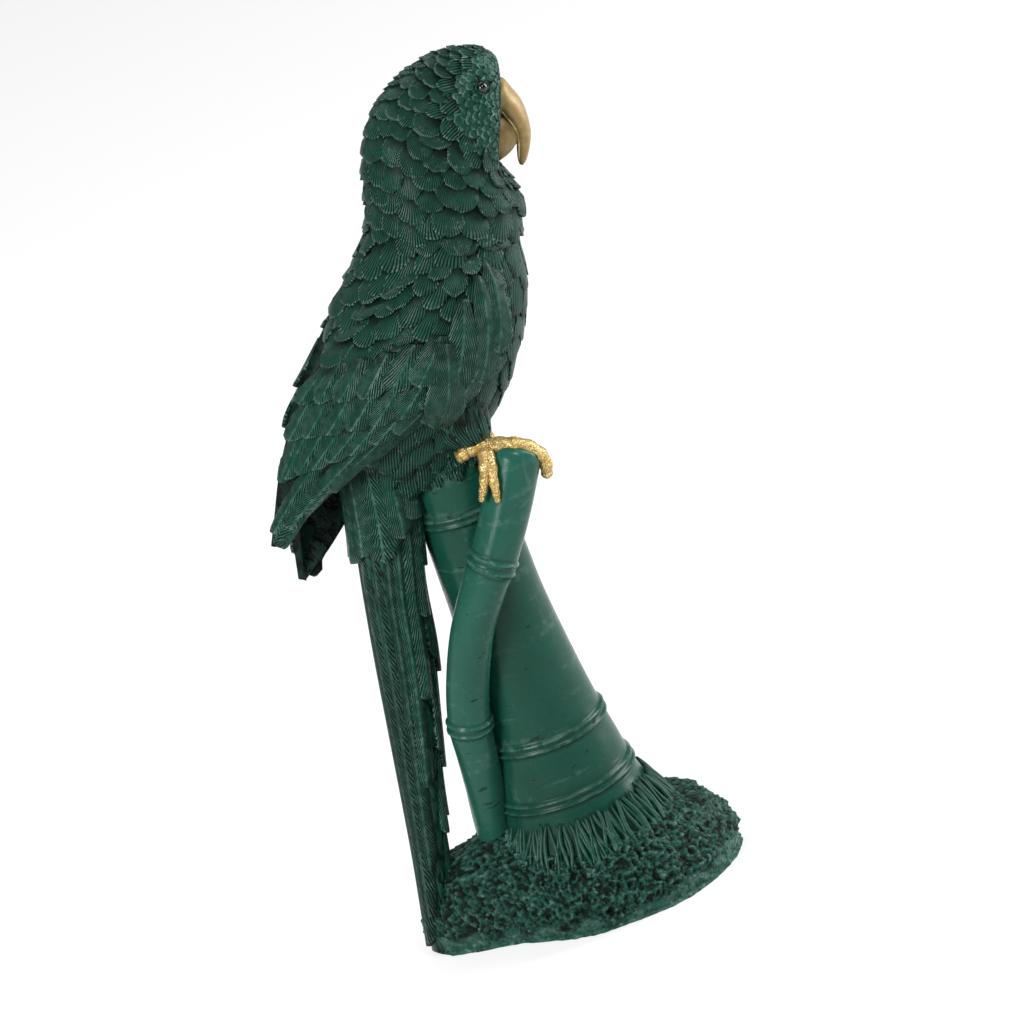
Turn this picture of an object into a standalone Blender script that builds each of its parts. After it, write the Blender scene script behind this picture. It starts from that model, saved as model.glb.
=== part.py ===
"""A parrot perched on two bamboo stems that rise from a rock: one resin casting, 255 mm tall.

The forms are modelled in millimetres, with +Z up, the bird facing +X and its midplane at Y = 0.
The near side, at -Y, is the bird's right. The origin lies on the flat underside of the rock. All
the forms are fused into one closed skin, cut flat underneath and scaled to metres at the end.
"""

import math

import bmesh
import bpy
import numpy as np
from mathutils import Matrix, Vector, noise

MM = 0.001
NEAR, FAR = -1, 1

# Main sizes
PERCH_HEIGHT = 142.0  # height of the stem's top, from which the bird's own heights are measured
WING_REACH = 54.6  # how far the near wing's tip lies behind the stem's axis
BEAK_REACH = 55.0  # how far the beak's ridge lies before it

PERCH_TOP = (0.0, 0.0, PERCH_HEIGHT)

# Casting
FUSING_GRID = 0.7
KEPT_SHARE = 0.03  # share of the fused skin's triangles that the casting keeps
SUNK_FOOT = 3.0  # how far the rock and the tail run past the underside before the flat cut
PAINT = (0.018, 0.085, 0.058, 1.0)
PAINT_ROUGHNESS = 0.42

# Bird, from the beak over the crown to the vent. Its heights are measured from the top of the perch.
# Each station is a slice across the bird:
# upper or rear point x, z; lower or front point x, z; half width
BODY = (
    (51.0, 100.5, 42.0, 79.2, 7.0),
    (51.9, 107.4, 41.8, 77.2, 10.2),
    (46.6, 111.8, 42.4, 75.4, 12.4),
    (37.4, 112.9, 42.6, 73.8, 13.6),
    (27.6, 111.0, 43.5, 71.6, 14.6),
    (18.2, 106.0, 44.4, 69.2, 15.4),
    (11.2, 98.2, 44.9, 66.6, 16.2),
    (6.9, 88.6, 44.7, 63.6, 17.2),
    (4.6, 79.4, 43.5, 60.2, 18.6),
    (2.0, 71.4, 41.7, 56.8, 20.4),
    (-4.3, 62.4, 40.4, 52.0, 22.3),
    (-12.4, 54.0, 39.5, 45.0, 23.6),
    (-19.5, 45.0, 37.4, 37.5, 24.2),
    (-24.0, 35.0, 34.0, 30.0, 23.6),
    (-26.0, 25.0, 29.6, 22.5, 21.8),
    (-27.0, 15.0, 24.3, 15.0, 19.0),
    (-27.5, 6.0, 18.0, 8.5, 15.5),
    (-27.0, -2.0, 12.5, 2.5, 12.0),
    (-24.0, -9.0, 3.0, -4.0, 8.5),
)
TAIL = (
    (-29.0, 10.0, -8.0, 8.0, 10.0),
    (-31.5, -14.0, -11.5, -14.0, 10.0),
    (-34.8, -34.0, -17.2, -34.0, 9.6),
    (-37.9, -54.0, -21.2, -54.0, 8.8),
    (-41.0, -76.0, -27.2, -76.0, 7.8),
    (-43.8, -96.0, -33.0, -96.0, 6.8),
    (-46.4, -114.0, -37.6, -114.0, 5.8),
    (-51.0, 1.0 - PERCH_HEIGHT, -44.0, 1.0 - PERCH_HEIGHT, 4.6),
    (-51.6, -SUNK_FOOT - PERCH_HEIGHT, -44.7, -SUNK_FOOT - PERCH_HEIGHT, 4.6),
)

# Folded wing on the near side, from the shoulder to the tip. Each station is a line round the
# bird's flank: a point on the back, one on the flank and one on the lower edge, each x, y, z
NEAR_WING = (
    (6.0, -10.5, 63.0, 18.0, -18.3, 64.0, 30.0, -16.5, 62.0),
    (-6.0, -12.0, 55.2, 12.0, -25.0, 58.0, 30.5, -22.0, 50.0),
    (-15.0, -9.0, 48.6, 4.0, -26.3, 49.0, 27.0, -24.3, 38.0),
    (-23.5, -6.5, 41.0, -4.0, -26.3, 40.0, 18.5, -24.5, 27.5),
    (-31.0, -4.0, 33.0, -12.0, -24.6, 31.0, 7.0, -23.5, 22.0),
    (-37.5, -2.5, 25.0, -20.0, -21.5, 23.0, -5.5, -21.0, 18.8),
    (-42.5, -1.5, 17.0, -28.5, -17.8, 16.0, -18.0, -17.6, 13.4),
    (-46.5, -1.2, 9.5, -36.8, -13.5, 9.0, -30.0, -13.6, 7.8),
    (-50.5, -2.0, 1.0, -45.2, -9.5, 1.5, -41.5, -9.5, 1.8),
    (-WING_REACH, -4.0, -7.2, 1.0 - WING_REACH, -5.4, -7.4, 2.0 - WING_REACH, -5.6, -7.4),
)
# The far wing has this many stations that match, and then droops to its own tip
WING_MATCH_COUNT = 6
FAR_WING_END = (
    (-41.5, 1.5, 15.5, -28.0, 17.4, 13.0, -15.5, 17.0, 7.5),
    (-44.5, 1.2, 6.0, -35.0, 12.8, 2.5, -25.0, 12.0, -6.5),
    (-47.5, 2.0, -6.0, -42.5, 8.8, -9.0, -37.5, 8.0, -17.0),
    (-50.6, 4.0, -22.5, -49.6, 5.4, -23.7, -48.6, 5.4, -24.0),
)
WING_THICKNESS = (6.5, 6.5, 6.5, 6.5, 6.0, 5.0, 4.0, 3.0, 2.4, 1.8)

# Plumage
BODY_FEATHER_COLUMNS = 20
BODY_FEATHER_SPREAD = 1.25  # a feather's width over the spacing of the columns
BODY_FEATHER_LIFT = ((1.0, 0.6), (6.0, 1.1), (10.0, 1.4))  # station, lift
BODY_FEATHERS_FROM = 1.2
BODY_FEATHER_LENGTH = ((1.0, 6.0), (6.0, 8.0), (10.0, 11.0), (18.0, 13.0))  # station, length
FACE_EDGE = ((0.0, 2.2), (40.0, 2.4), (90.0, 2.9), (140.0, 2.4), (180.0, 1.6))  # degrees, station
FEATHER_THICKNESS = 1.6
FEATHER_ROOT_SHARE = 0.5  # a feather's width at its root, as a share of its full width
WING_SCALE_COLUMNS = 6
WING_SCALE_LENGTH, WING_SCALE_WIDTH = 10.0, 8.4
WING_SCALE_PITCH = 5.4
WING_SCALES_END = 2.7
# Long feathers: place across the wing (0 on the back, 1 at the lower edge), station of the tip
COVERTS = ((0.08, 4.7), (0.24, 4.5), (0.4, 4.2), (0.56, 3.9), (0.72, 3.5), (0.88, 3.1))
COVERT_LENGTH, COVERT_WIDTH = 19.0, 10.5
SECONDARIES = (
    (0.06, 7.0), (0.2, 6.7), (0.34, 6.35), (0.48, 5.95), (0.62, 5.5), (0.76, 5.05), (0.9, 4.45),
)
SECONDARY_LENGTH, SECONDARY_WIDTH = 33.0, 11.5
PRIMARIES = ((0.15, 8.75), (0.35, 9.0), (0.55, 8.75), (0.7, 8.3), (0.84, 7.6), (0.95, 6.8))
PRIMARY_LENGTH, PRIMARY_WIDTH = 42.0, 9.0
# Tail feathers: angle from the breast side in degrees, station of the tip
TAIL_FEATHERS = ((180.0, 6.9), (152.0, 6.1), (128.0, 5.0), (104.0, 4.0), (80.0, 2.9), (56.0, 2.1))
TAIL_FEATHER_WIDTH, TAIL_FEATHER_LIFT = 8.0, 1.3
TAIL_COVERTS = ((165.0, 1.3), (135.0, 1.2), (105.0, 1.15), (75.0, 1.0), (45.0, 0.8))
TAIL_COVERT_WIDTH, TAIL_COVERT_LIFT = 10.0, 1.6

# Beak stations: ridge x, z; cutting edge x, z; half width
UPPER_BEAK = (
    (45.0, 99.0, 42.0, 89.0, 6.0),
    (BEAK_REACH - 3.6, 100.4, 47.2, 91.4, 6.2),
    (BEAK_REACH - 1.4, 96.1, 48.6, 89.2, 6.0),
    (BEAK_REACH - 0.1, 91.7, 49.6, 86.8, 5.4),
    (BEAK_REACH, 86.7, 50.1, 84.2, 4.6),
    (BEAK_REACH - 0.8, 81.9, 49.8, 81.2, 3.6),
    (BEAK_REACH - 2.7, 77.7, 48.9, 77.8, 2.7),
    (BEAK_REACH - 4.4, 75.0, 48.3, 75.6, 1.8),
    (BEAK_REACH - 5.8, 73.7, 48.2, 74.4, 0.8),
)
LOWER_BEAK = (
    (44.0, 91.5, 38.0, 81.0, 5.4),
    (49.2, 91.0, 42.2, 77.8, 5.5),
    (50.8, 88.2, 44.0, 77.8, 5.0),
    (51.4, 85.2, 46.4, 78.8, 4.0),
    (51.0, 83.0, 48.4, 80.2, 2.4),
)

EYE_STATION, EYE_TURN = 2.06, 123.0  # place on the body, with the turn in degrees
EYE_RADIUS, EYE_RIM = 1.5, 2.5
EYE_RIM_DEPTH = 0.3  # how deep the middle of the rim lies under the head's skin

# Bamboo
STEM_LEAN = ((2.4, 2.0, 5.0), (1.2, 2.0, 40.0), (0.3, 2.0, 90.0), (0.0, 2.0, PERCH_HEIGHT))
STEM_RADII = (
    (5.0, 22.0), (14.0, 24.0), (19.5, 26.5), (26.0, 23.0), (33.0, 20.3), (45.0, 18.8),
    (53.0, 17.4), (66.0, 15.9), (82.0, 14.5), (95.0, 13.6), (PERCH_HEIGHT, 13.0),
)
STEM_RINGS = (36.5, 53.5, PERCH_HEIGHT - 17.0)
RING_HALF_HEIGHT, RING_STAND = 2.3, 1.4
RING_LIP_PLACE, RING_LIP_WIDTH = 0.6, 0.3  # as shares of the half height
STALK_RISE = 0.6  # how far the stalk's top stands above the stem's
STALK_PATH = (
    (-22.6, 2.5, 14.0),
    (-22.4, 0.5, 30.0),
    (-20.8, -4.5, 45.0),
    (-19.8, -7.8, 56.0),
    (-18.8, -10.0, 66.0),
    (-15.6, -11.8, 78.0),
    (-9.6, -15.4, 93.5),
    (-2.0, -18.0, PERCH_HEIGHT - 35.5),
    (4.2, -18.4, PERCH_HEIGHT - 27.0),
    (12.2, -17.2, PERCH_HEIGHT - 14.5),
    (20.6, -15.0, PERCH_HEIGHT + STALK_RISE),
)
STALK_RADII = (
    (14.0, 4.5), (30.0, 4.6), (45.0, 5.2), (56.0, 5.8), (66.0, 6.2), (98.0, 6.2),
    (PERCH_HEIGHT - 27.0, 6.8), (PERCH_HEIGHT - 2.4, 7.5), (PERCH_HEIGHT + STALK_RISE, 6.3),
)
STALK_RINGS = (66.0, PERCH_HEIGHT - 29.0)

# Rock: outline of the underside, x, y
ROCK_CENTRE = (-4.0, 0.0)
ROCK_OUTLINE = (
    (-51.0, 1.0), (-46.5, -7.5), (-38.0, -12.5), (-30.0, -15.5), (-21.0, -21.5), (-13.0, -27.5),
    (-4.0, -31.0), (5.0, -31.0), (14.0, -31.0), (22.5, -28.3), (31.0, -22.0), (37.5, -14.5),
    (42.0, -5.0), (43.0, 4.0), (40.5, 13.0), (33.5, 21.0), (22.0, 26.5), (9.0, 29.8),
    (-6.0, 30.0), (-19.0, 26.5), (-31.0, 21.0), (-41.0, 14.5), (-48.0, 8.5),
)
# Height of the rock over the share of the way out to its outline
ROCK_PROFILE = (
    (0.05, 27.0), (0.3, 26.8), (0.5, 25.6), (0.66, 23.2), (0.76, 21.0), (0.84, 19.0), (0.91, 15.5),
    (0.965, 11.5), (0.995, 8.0), (1.0, 4.4), (0.96, 0.0), (0.93, -SUNK_FOOT),
)
ROCK_TAIL_RISE = 0.14  # share by which the rock is higher towards the tail
ROCK_LUMP, ROCK_LUMP_SIZE = 1.6, 7.0
ROOT_COUNT = 42
ROOT_TOP, ROOT_FOOT = (21.6, 30.5), (30.0, 17.5)  # distance from the stem's middle, height
ROOT_RADII = (1.3, 0.9)

FOOT_CUTTER = (150.0, 120.0, 20.0)

# Legs: centre and radius of the feathered part above each foot
LEGS = (((7.0, -11.5, 10.5), 9.5), ((3.0, 10.5, 7.0), 9.0))
# Toes: points x, y, z, with the radius at the first and the last
NEAR_TOES = (
    (((13.0, -14.8, 4.4), (8.0, -16.0, 4.2), (3.2, -17.0, 3.6)), 2.2, 1.9),
    (
        (
            (12.0, -15.4, 3.6),
            (18.0, -17.8, 2.8),
            (23.6, -18.2, -0.2),
            (26.4, -16.8, -5.5),
            (25.6, -15.0, -11.8),
        ),
        2.3,
        1.8,
    ),
    (((12.0, -15.5, 4.0), (10.2, -20.6, 0.6), (8.0, -23.0, -4.2), (5.6, -22.4, -9.2)), 2.1, 0.9),
    (((12.4, -15.5, 4.0), (11.8, -21.4, -0.2), (10.6, -23.8, -6.0), (10.0, -23.6, -10.8)), 2.0, 0.9),
)
FAR_TOES = (
    (((4.0, 13.5, 0.5), (-2.0, 15.0, -0.4), (-7.5, 15.2, -1.8)), 2.2, 1.7),
    (((4.0, 13.0, 0.5), (10.0, 12.2, -0.5), (14.0, 10.0, -4.0), (14.4, 7.5, -10.5)), 2.2, 1.4),
    (((4.0, 13.5, 0.0), (3.6, 15.9, -4.0), (2.6, 15.9, -12.0)), 2.1, 1.0),
    (((4.0, 13.5, 0.0), (7.6, 14.6, -4.0), (8.6, 13.4, -11.4)), 2.0, 1.0),
)


def read_curve(rows, place):
    """Values of a smooth curve through rows of numbers, at places counted in rows."""
    rows = np.asarray(rows, float)
    last = len(rows) - 1
    padded = np.vstack([2 * rows[0] - rows[1], rows, 2 * rows[-1] - rows[-2]])
    place = np.clip(np.asarray(place, float), 0.0, last)
    cell = np.minimum(np.floor(place).astype(int), last - 1)
    f = (place - cell)[..., None]
    a, b, c, d = (padded[cell + k] for k in range(4))
    return b + 0.5 * f * (c - a + f * (2 * a - 5 * b + 4 * c - d + f * (3 * (b - c) + d - a)))


def graph(points, x):
    """Height at x of a graph of straight lines through points."""
    return float(np.interp(x, [p[0] for p in points], [p[1] for p in points]))


def slice_skin(stations):
    """Skin of a form made of oval slices, with turn 0 at the lower or front edge and 90 degrees near."""

    def point(s, t):
        x0, z0, x1, z1, half_width = read_curve(stations, s).T
        return np.stack(
            [
                (x0 + x1) / 2 + (x1 - x0) / 2 * np.cos(t),
                NEAR * half_width * np.sin(t),
                PERCH_HEIGHT + (z0 + z1) / 2 + (z1 - z0) / 2 * np.cos(t),
            ],
            axis=-1,
        )

    return point


def flank_skin(stations):
    """Skin of a wing: t runs from 0 on the back to 1 at the lower edge."""

    def point(s, t):
        back, flank, edge = np.split(read_curve(stations, s) + 3 * PERCH_TOP, 3, axis=-1)
        t = np.asarray(t, float)[..., None]
        return back * (1 - t) * (1 - 2 * t) + 4 * flank * t * (1 - t) + edge * t * (2 * t - 1)

    return point


class Skin:
    """A surface with points at (s, t), and heights above it."""

    STEP = 0.02

    def __init__(self, point, outward):
        self.point = point
        self.outward = outward

    def at(self, s, t, height):
        s, t, height = np.broadcast_arrays(np.asarray(s, float), np.asarray(t, float), height)
        along = self.point(s + self.STEP, t) - self.point(s - self.STEP, t)
        across = self.point(s, t + self.STEP) - self.point(s, t - self.STEP)
        normal = np.cross(across, along) * self.outward
        length = np.maximum(np.linalg.norm(normal, axis=-1, keepdims=True), 1e-9)
        return self.point(s, t) + normal / length * height[..., None]

    def length_of_s(self, s, t):
        reach = self.point(s + self.STEP, t) - self.point(s - self.STEP, t)
        return np.linalg.norm(reach, axis=-1) / (2 * self.STEP)

    def length_of_t(self, s, t):
        reach = self.point(s, t + self.STEP) - self.point(s, t - self.STEP)
        return np.linalg.norm(reach, axis=-1) / (2 * self.STEP)


def far_wing_stations():
    """The near wing mirrored, with its own drooping end."""
    mirrored = []
    for row in NEAR_WING[:WING_MATCH_COUNT]:
        mirrored.append(tuple(-value if k % 3 == 1 else value for k, value in enumerate(row)))
    return tuple(mirrored) + FAR_WING_END


class Forms:
    """Closed forms gathered from small meshes, to be fused together later."""

    def __init__(self):
        self.verts = []
        self.faces = []

    def take(self, bm):
        """Add the closed forms of a mesh, facing outwards, and free it."""
        bmesh.ops.recalc_face_normals(bm, faces=bm.faces)
        bm.verts.index_update()
        first = len(self.verts)
        self.verts.extend(vert.co * MM for vert in bm.verts)
        self.faces.extend([first + vert.index for vert in face.verts] for face in bm.faces)
        bm.free()

    def to_mesh(self, name):
        mesh = bpy.data.meshes.new(name)
        mesh.from_pydata(self.verts, [], self.faces)
        mesh.shade_smooth()
        return mesh


def skin_over_rings(forms, rings):
    """A closed form through rings of points, with flat ends."""
    bm = bmesh.new()
    ring = bmesh.ops.create_circle(bm, segments=len(rings[0]), radius=1.0)["verts"]
    edges = list({edge for vert in ring for edge in vert.link_edges})
    first_edges = edges
    for number, points in enumerate(rings):
        if number:
            made = bmesh.ops.extrude_edge_only(bm, edges=edges)["geom"]
            edges = [item for item in made if isinstance(item, bmesh.types.BMEdge)]
            tied = {edge: edge for edge in edges}
            ring = [other_end(vert, tied) for vert in ring]
        for vert, point in zip(ring, points):
            vert.co = point
    bmesh.ops.holes_fill(bm, edges=first_edges + edges)
    forms.take(bm)


def other_end(vert, new_edges):
    """The vertex that an extrusion made from this one."""
    for edge in vert.link_edges:
        far = edge.other_vert(vert)
        if edge not in new_edges and any(link in new_edges for link in far.link_edges):
            return far
    raise ValueError("the ring was not extruded")


def skin_from_slices(forms, stations, sides, steps):
    """A closed form through oval slices, with several rings to a station."""
    point = slice_skin(stations)
    turns = np.linspace(0.0, 2 * math.pi, sides, endpoint=False)
    last = len(stations) - 1
    rings = [point(np.full(sides, s), turns) for s in np.linspace(0, last, last * steps + 1)]
    skin_over_rings(forms, rings)


def wing_core(forms, skin, side):
    """The wing's own body: its skin and a second one inside, a thickness below."""
    across = np.linspace(0.0, 1.0, 9)
    rings = []
    for s in np.linspace(0, len(NEAR_WING) - 1, 28):
        thickness = float(np.interp(s, range(len(WING_THICKNESS)), WING_THICKNESS))
        outer = skin.at(s, across, 0.0)
        inner = skin.at(s, across[::-1], -thickness)
        rings.append(np.vstack([outer, inner])[::side])
    skin_over_rings(forms, rings)


def lay_feather(forms, skin, root, tip, width, lift, grid=(4, 5)):
    """One closed feather on a skin, from root (s, t) to a round tip (s, t) that stands off by lift."""
    bm = bmesh.new()
    plate = bmesh.ops.create_grid(bm, x_segments=grid[0], y_segments=grid[1], size=1.0)["verts"]
    faces = list({face for vert in plate for face in vert.link_faces})
    made = bmesh.ops.extrude_face_region(bm, geom=faces)["geom"]
    under = [item for item in made if isinstance(item, bmesh.types.BMVert)]
    for verts, drop in ((plate, 0.0), (under, FEATHER_THICKNESS)):
        u = np.array([vert.co.x for vert in verts])
        v = (np.array([vert.co.y for vert in verts]) + 1) / 2
        length = abs(tip[0] - root[0]) * skin.length_of_s((root[0] + tip[0]) / 2, root[1])
        bow = min(0.5 * width, 0.8 * length) / length
        v = v * (1 - bow * (1 - np.sqrt(1 - (0.98 * u) ** 2)))
        s = root[0] + (tip[0] - root[0]) * v
        middle = root[1] + (tip[1] - root[1]) * v
        spread = FEATHER_ROOT_SHARE + (1 - FEATHER_ROOT_SHARE) * np.sin(v * math.pi / 2)
        reach = u * spread * width / 2 / np.maximum(skin.length_of_t(s, middle), 0.6 * width)
        height = lift * v - 0.3 * lift * u**2 - drop
        for vert, point in zip(verts, skin.at(s, middle + reach, height)):
            vert.co = point
    forms.take(bm)


def lay_body_feathers(forms, skin, rng):
    """Overlapping scales from the nape to the vent, longest on the belly."""
    s = BODY_FEATHERS_FROM
    row = 0
    while s < len(BODY) - 1.6:
        length = graph(BODY_FEATHER_LENGTH, s)
        lift = graph(BODY_FEATHER_LIFT, s)
        for column in range(BODY_FEATHER_COLUMNS):
            turn = (column + 0.5 * (row % 2)) * 2 * math.pi / BODY_FEATHER_COLUMNS
            turn += rng.normal(0, 0.02)
            run = float(skin.length_of_s(s, turn))
            girth = float(skin.length_of_t(s, turn))
            if run < 1.0 or on_face(s, turn):
                continue
            start = s + rng.normal(0, 0.4) / run
            end = min(start + length / run, len(BODY) - 1.02)
            width = BODY_FEATHER_SPREAD * girth * 2 * math.pi / BODY_FEATHER_COLUMNS
            lay_feather(forms, skin, (start, turn), (end, turn), max(width, 3.5), lift)
        s += 0.55 * length / max(float(skin.length_of_s(s, math.pi / 2)), 3.0)
        row += 1


def on_face(s, turn):
    """Whether a place on the body lies on the bare face or throat."""
    return s < graph(FACE_EDGE, abs(math.remainder(turn, 2 * math.pi)) * 180 / math.pi)


def lay_wing_feathers(forms, skin, last, rng):
    """Scales on the shoulder, then coverts, secondaries and primaries that reach the wing's tip."""
    s = 0.05
    row = 0
    while s < WING_SCALES_END:
        for column in range(WING_SCALE_COLUMNS):
            place = (column + 0.25 + 0.5 * (row % 2)) / WING_SCALE_COLUMNS
            run = float(skin.length_of_s(s, place))
            end = s + WING_SCALE_LENGTH / run
            lay_feather(forms, skin, (s, place), (end, place), WING_SCALE_WIDTH, 1.3)
        s += WING_SCALE_PITCH / float(skin.length_of_s(s, 0.5))
        row += 1
    rows = (
        (PRIMARIES, PRIMARY_LENGTH, PRIMARY_WIDTH, 1.0),
        (SECONDARIES, SECONDARY_LENGTH, SECONDARY_WIDTH, 1.7),
        (COVERTS, COVERT_LENGTH, COVERT_WIDTH, 2.3),
    )
    for tips, length, width, lift in rows:
        for place, tip in tips:
            tip = min(tip, last)
            run = float(skin.length_of_s(tip - 0.8, place))
            start = max(tip - length / run, 0.0)
            lay_feather(forms, skin, (start, place), (tip, place), width, lift, grid=(4, 9))


def lay_tail_feathers(forms, skin):
    """Long feathers from the rump, the middle ones longest, with short coverts over their roots."""
    for side in (NEAR, FAR):
        for degrees, tip in TAIL_FEATHERS:
            turn = -side * math.radians(degrees)
            width = graph(((0.0, TAIL_FEATHER_WIDTH), (8.0, 0.6 * TAIL_FEATHER_WIDTH)), tip)
            lay_feather(forms, skin, (0.2, turn), (tip, turn), width, TAIL_FEATHER_LIFT, grid=(4, 14))
        for degrees, tip in TAIL_COVERTS:
            turn = -side * math.radians(degrees)
            width, lift = TAIL_COVERT_WIDTH, TAIL_COVERT_LIFT
            lay_feather(forms, skin, (0.0, turn), (tip, turn), width, lift, grid=(4, 8))


def frame_along(points):
    """Two unit vectors across a path at each of its points."""
    tangents = np.gradient(points, axis=0)
    tangents /= np.linalg.norm(tangents, axis=1)[:, None]
    side = np.cross(tangents, (0.0, 1.0, 0.0))
    side /= np.maximum(np.linalg.norm(side, axis=1)[:, None], 1e-6)
    return side, np.cross(tangents, side)


def sweep_tube(forms, path, radii, sides):
    """A closed tube of round slices along a path."""
    points = np.asarray(path, float)
    across, over = frame_along(points)
    turns = np.linspace(0.0, 2 * math.pi, sides, endpoint=False)[:, None]
    rings = [
        point + radius * (np.cos(turns) * a + np.sin(turns) * b)
        for point, radius, a, b in zip(points, radii, across, over)
    ]
    skin_over_rings(forms, rings)


def ring_swell(z, rings, stand):
    """How far a stem stands out near its rings, which have a groove between two lips."""
    swell = 0.0
    for ring in rings:
        d = abs(z - ring) / RING_HALF_HEIGHT
        lips = math.exp(-(((d - RING_LIP_PLACE) / RING_LIP_WIDTH) ** 2))
        swell = max(swell, stand * (0.75 * lips + 0.4 * math.exp(-d * d)))
    return swell


def add_ball(forms, place, radius):
    """A closed ball in a matrix's place and shape."""
    bm = bmesh.new()
    bmesh.ops.create_uvsphere(bm, u_segments=20, v_segments=12, radius=radius, matrix=place)
    forms.take(bm)


def build_bamboo(forms):
    """The thick stem, which flares into the rock, and the thin stalk that bends across it."""
    heights = np.arange(STEM_RADII[0][0], STEM_RADII[-1][0] + 0.1, 0.5)
    path = [(graph([(p[2], p[0]) for p in STEM_LEAN], z), STEM_LEAN[0][1], z) for z in heights]
    radii = [graph(STEM_RADII, z) + ring_swell(z, STEM_RINGS, RING_STAND) for z in heights]
    sweep_tube(forms, path, radii, 48)
    places = np.linspace(0, len(STALK_PATH) - 1, 220)
    path = read_curve(STALK_PATH, places)
    radii = [graph(STALK_RADII, z) + ring_swell(z, STALK_RINGS, 0.7 * RING_STAND) for z in path[:, 2]]
    sweep_tube(forms, path, radii, 28)


def build_rock(forms, rng):
    """The rock, lumpy all over down to a smooth rim, and the fringe of roots round the stem's foot."""
    places = np.linspace(0, len(ROCK_OUTLINE), 120, endpoint=False)
    outline = read_curve(ROCK_OUTLINE + ROCK_OUTLINE[:1], places)
    centre = np.array(ROCK_CENTRE)
    rings = []
    for share, height in read_curve(ROCK_PROFILE, np.linspace(0, len(ROCK_PROFILE) - 1, 40)):
        flat = centre + (outline - centre) * share
        ring = []
        for x, y in flat:
            rise = 1 + ROCK_TAIL_RISE * min(1.0, max(0.0, -x / 40.0)) * min(1.0, height / 20.0)
            spot = Vector((x, y, height * rise))
            lump = noise.fractal(spot / ROCK_LUMP_SIZE, 0.8, 2.1, 3)
            lump *= ROCK_LUMP * min(1.0, max(0.0, (height - 3.0) / 5.0))
            away = Vector((x - centre[0], y - centre[1], 12.0)).normalized()
            ring.append(spot + away * lump)
        rings.append(ring)
    skin_over_rings(forms, rings)
    middle = np.array((STEM_LEAN[0][0], STEM_LEAN[0][1]))
    for number in range(ROOT_COUNT):
        turn = (number + rng.uniform(-0.2, 0.2)) * 2 * math.pi / ROOT_COUNT
        long = rng.uniform(0.85, 1.1)
        path = []
        for share in np.linspace(0, 1, 7):
            far = ROOT_TOP[0] + (ROOT_FOOT[0] - ROOT_TOP[0]) * share**1.3 * long
            swing = turn + 0.05 * math.sin(3.0 * share + number)
            height = ROOT_TOP[1] + (ROOT_FOOT[1] - ROOT_TOP[1]) * share * long
            path.append((middle[0] + far * math.cos(swing), middle[1] + far * math.sin(swing), height))
        sweep_tube(forms, path, np.linspace(*ROOT_RADII, 7), 8)


def build_toes(forms, rng):
    """Gripping toes with rough skin, and a short leg in feathers above each foot."""
    for toes in (NEAR_TOES, FAR_TOES):
        for points, thick, thin in toes:
            path = read_curve(points, np.linspace(0, len(points) - 1, 18)) + PERCH_TOP
            radii = np.linspace(thick, thin, 18) + rng.uniform(-0.12, 0.12, 18)
            sweep_tube(forms, path, radii, 10)
    for centre, radius in LEGS:
        place = Matrix.Translation(Vector(centre) + Vector(PERCH_TOP))
        add_ball(forms, place @ Matrix.Diagonal((1.0, 0.75, 1.0, 1.0)), radius)


def build_head(forms):
    """The hooked beak, open a little at its tip, and the eyes in their rims."""
    skin_from_slices(forms, UPPER_BEAK, 20, 3)
    skin_from_slices(forms, LOWER_BEAK, 20, 3)
    skin = Skin(slice_skin(BODY), 1)
    for side in (NEAR, FAR):
        turn = -side * math.radians(EYE_TURN)
        eye = Vector(skin.at(EYE_STATION, turn, -EYE_RIM_DEPTH))
        facing = (Vector(skin.at(EYE_STATION, turn, EYE_RADIUS)) - eye).normalized()
        tilt = facing.to_track_quat("Z", "Y").to_matrix().to_4x4()
        rim = Matrix.Translation(eye) @ tilt @ Matrix.Diagonal((1.0, 1.0, 0.45, 1.0))
        add_ball(forms, rim, EYE_RIM)
        add_ball(forms, Matrix.Translation(eye + facing * EYE_RIM_DEPTH), EYE_RADIUS)


def build_casting():
    """All the forms in one mesh, fused and thinned by modifiers."""
    rng = np.random.default_rng(7)
    forms = Forms()
    skin_from_slices(forms, BODY, 32, 4)
    lay_body_feathers(forms, Skin(slice_skin(BODY), 1), rng)
    skin_from_slices(forms, TAIL, 24, 4)
    lay_tail_feathers(forms, Skin(slice_skin(TAIL), 1))
    for stations, side in ((NEAR_WING, NEAR), (far_wing_stations(), FAR)):
        skin = Skin(flank_skin(stations), side)
        wing_core(forms, skin, side)
        lay_wing_feathers(forms, skin, len(stations) - 1.0, rng)
    build_head(forms)
    build_bamboo(forms)
    build_toes(forms, rng)
    build_rock(forms, rng)
    casting = bpy.data.objects.new("parrot_figurine", forms.to_mesh("parrot_figurine"))
    bpy.context.scene.collection.objects.link(casting)
    fuse = casting.modifiers.new("fuse the forms", "REMESH")
    fuse.mode = "VOXEL"
    fuse.voxel_size = FUSING_GRID * MM
    fuse.use_smooth_shade = True
    thin = casting.modifiers.new("thin the skin", "DECIMATE")
    thin.ratio = KEPT_SHARE
    return casting


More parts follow.
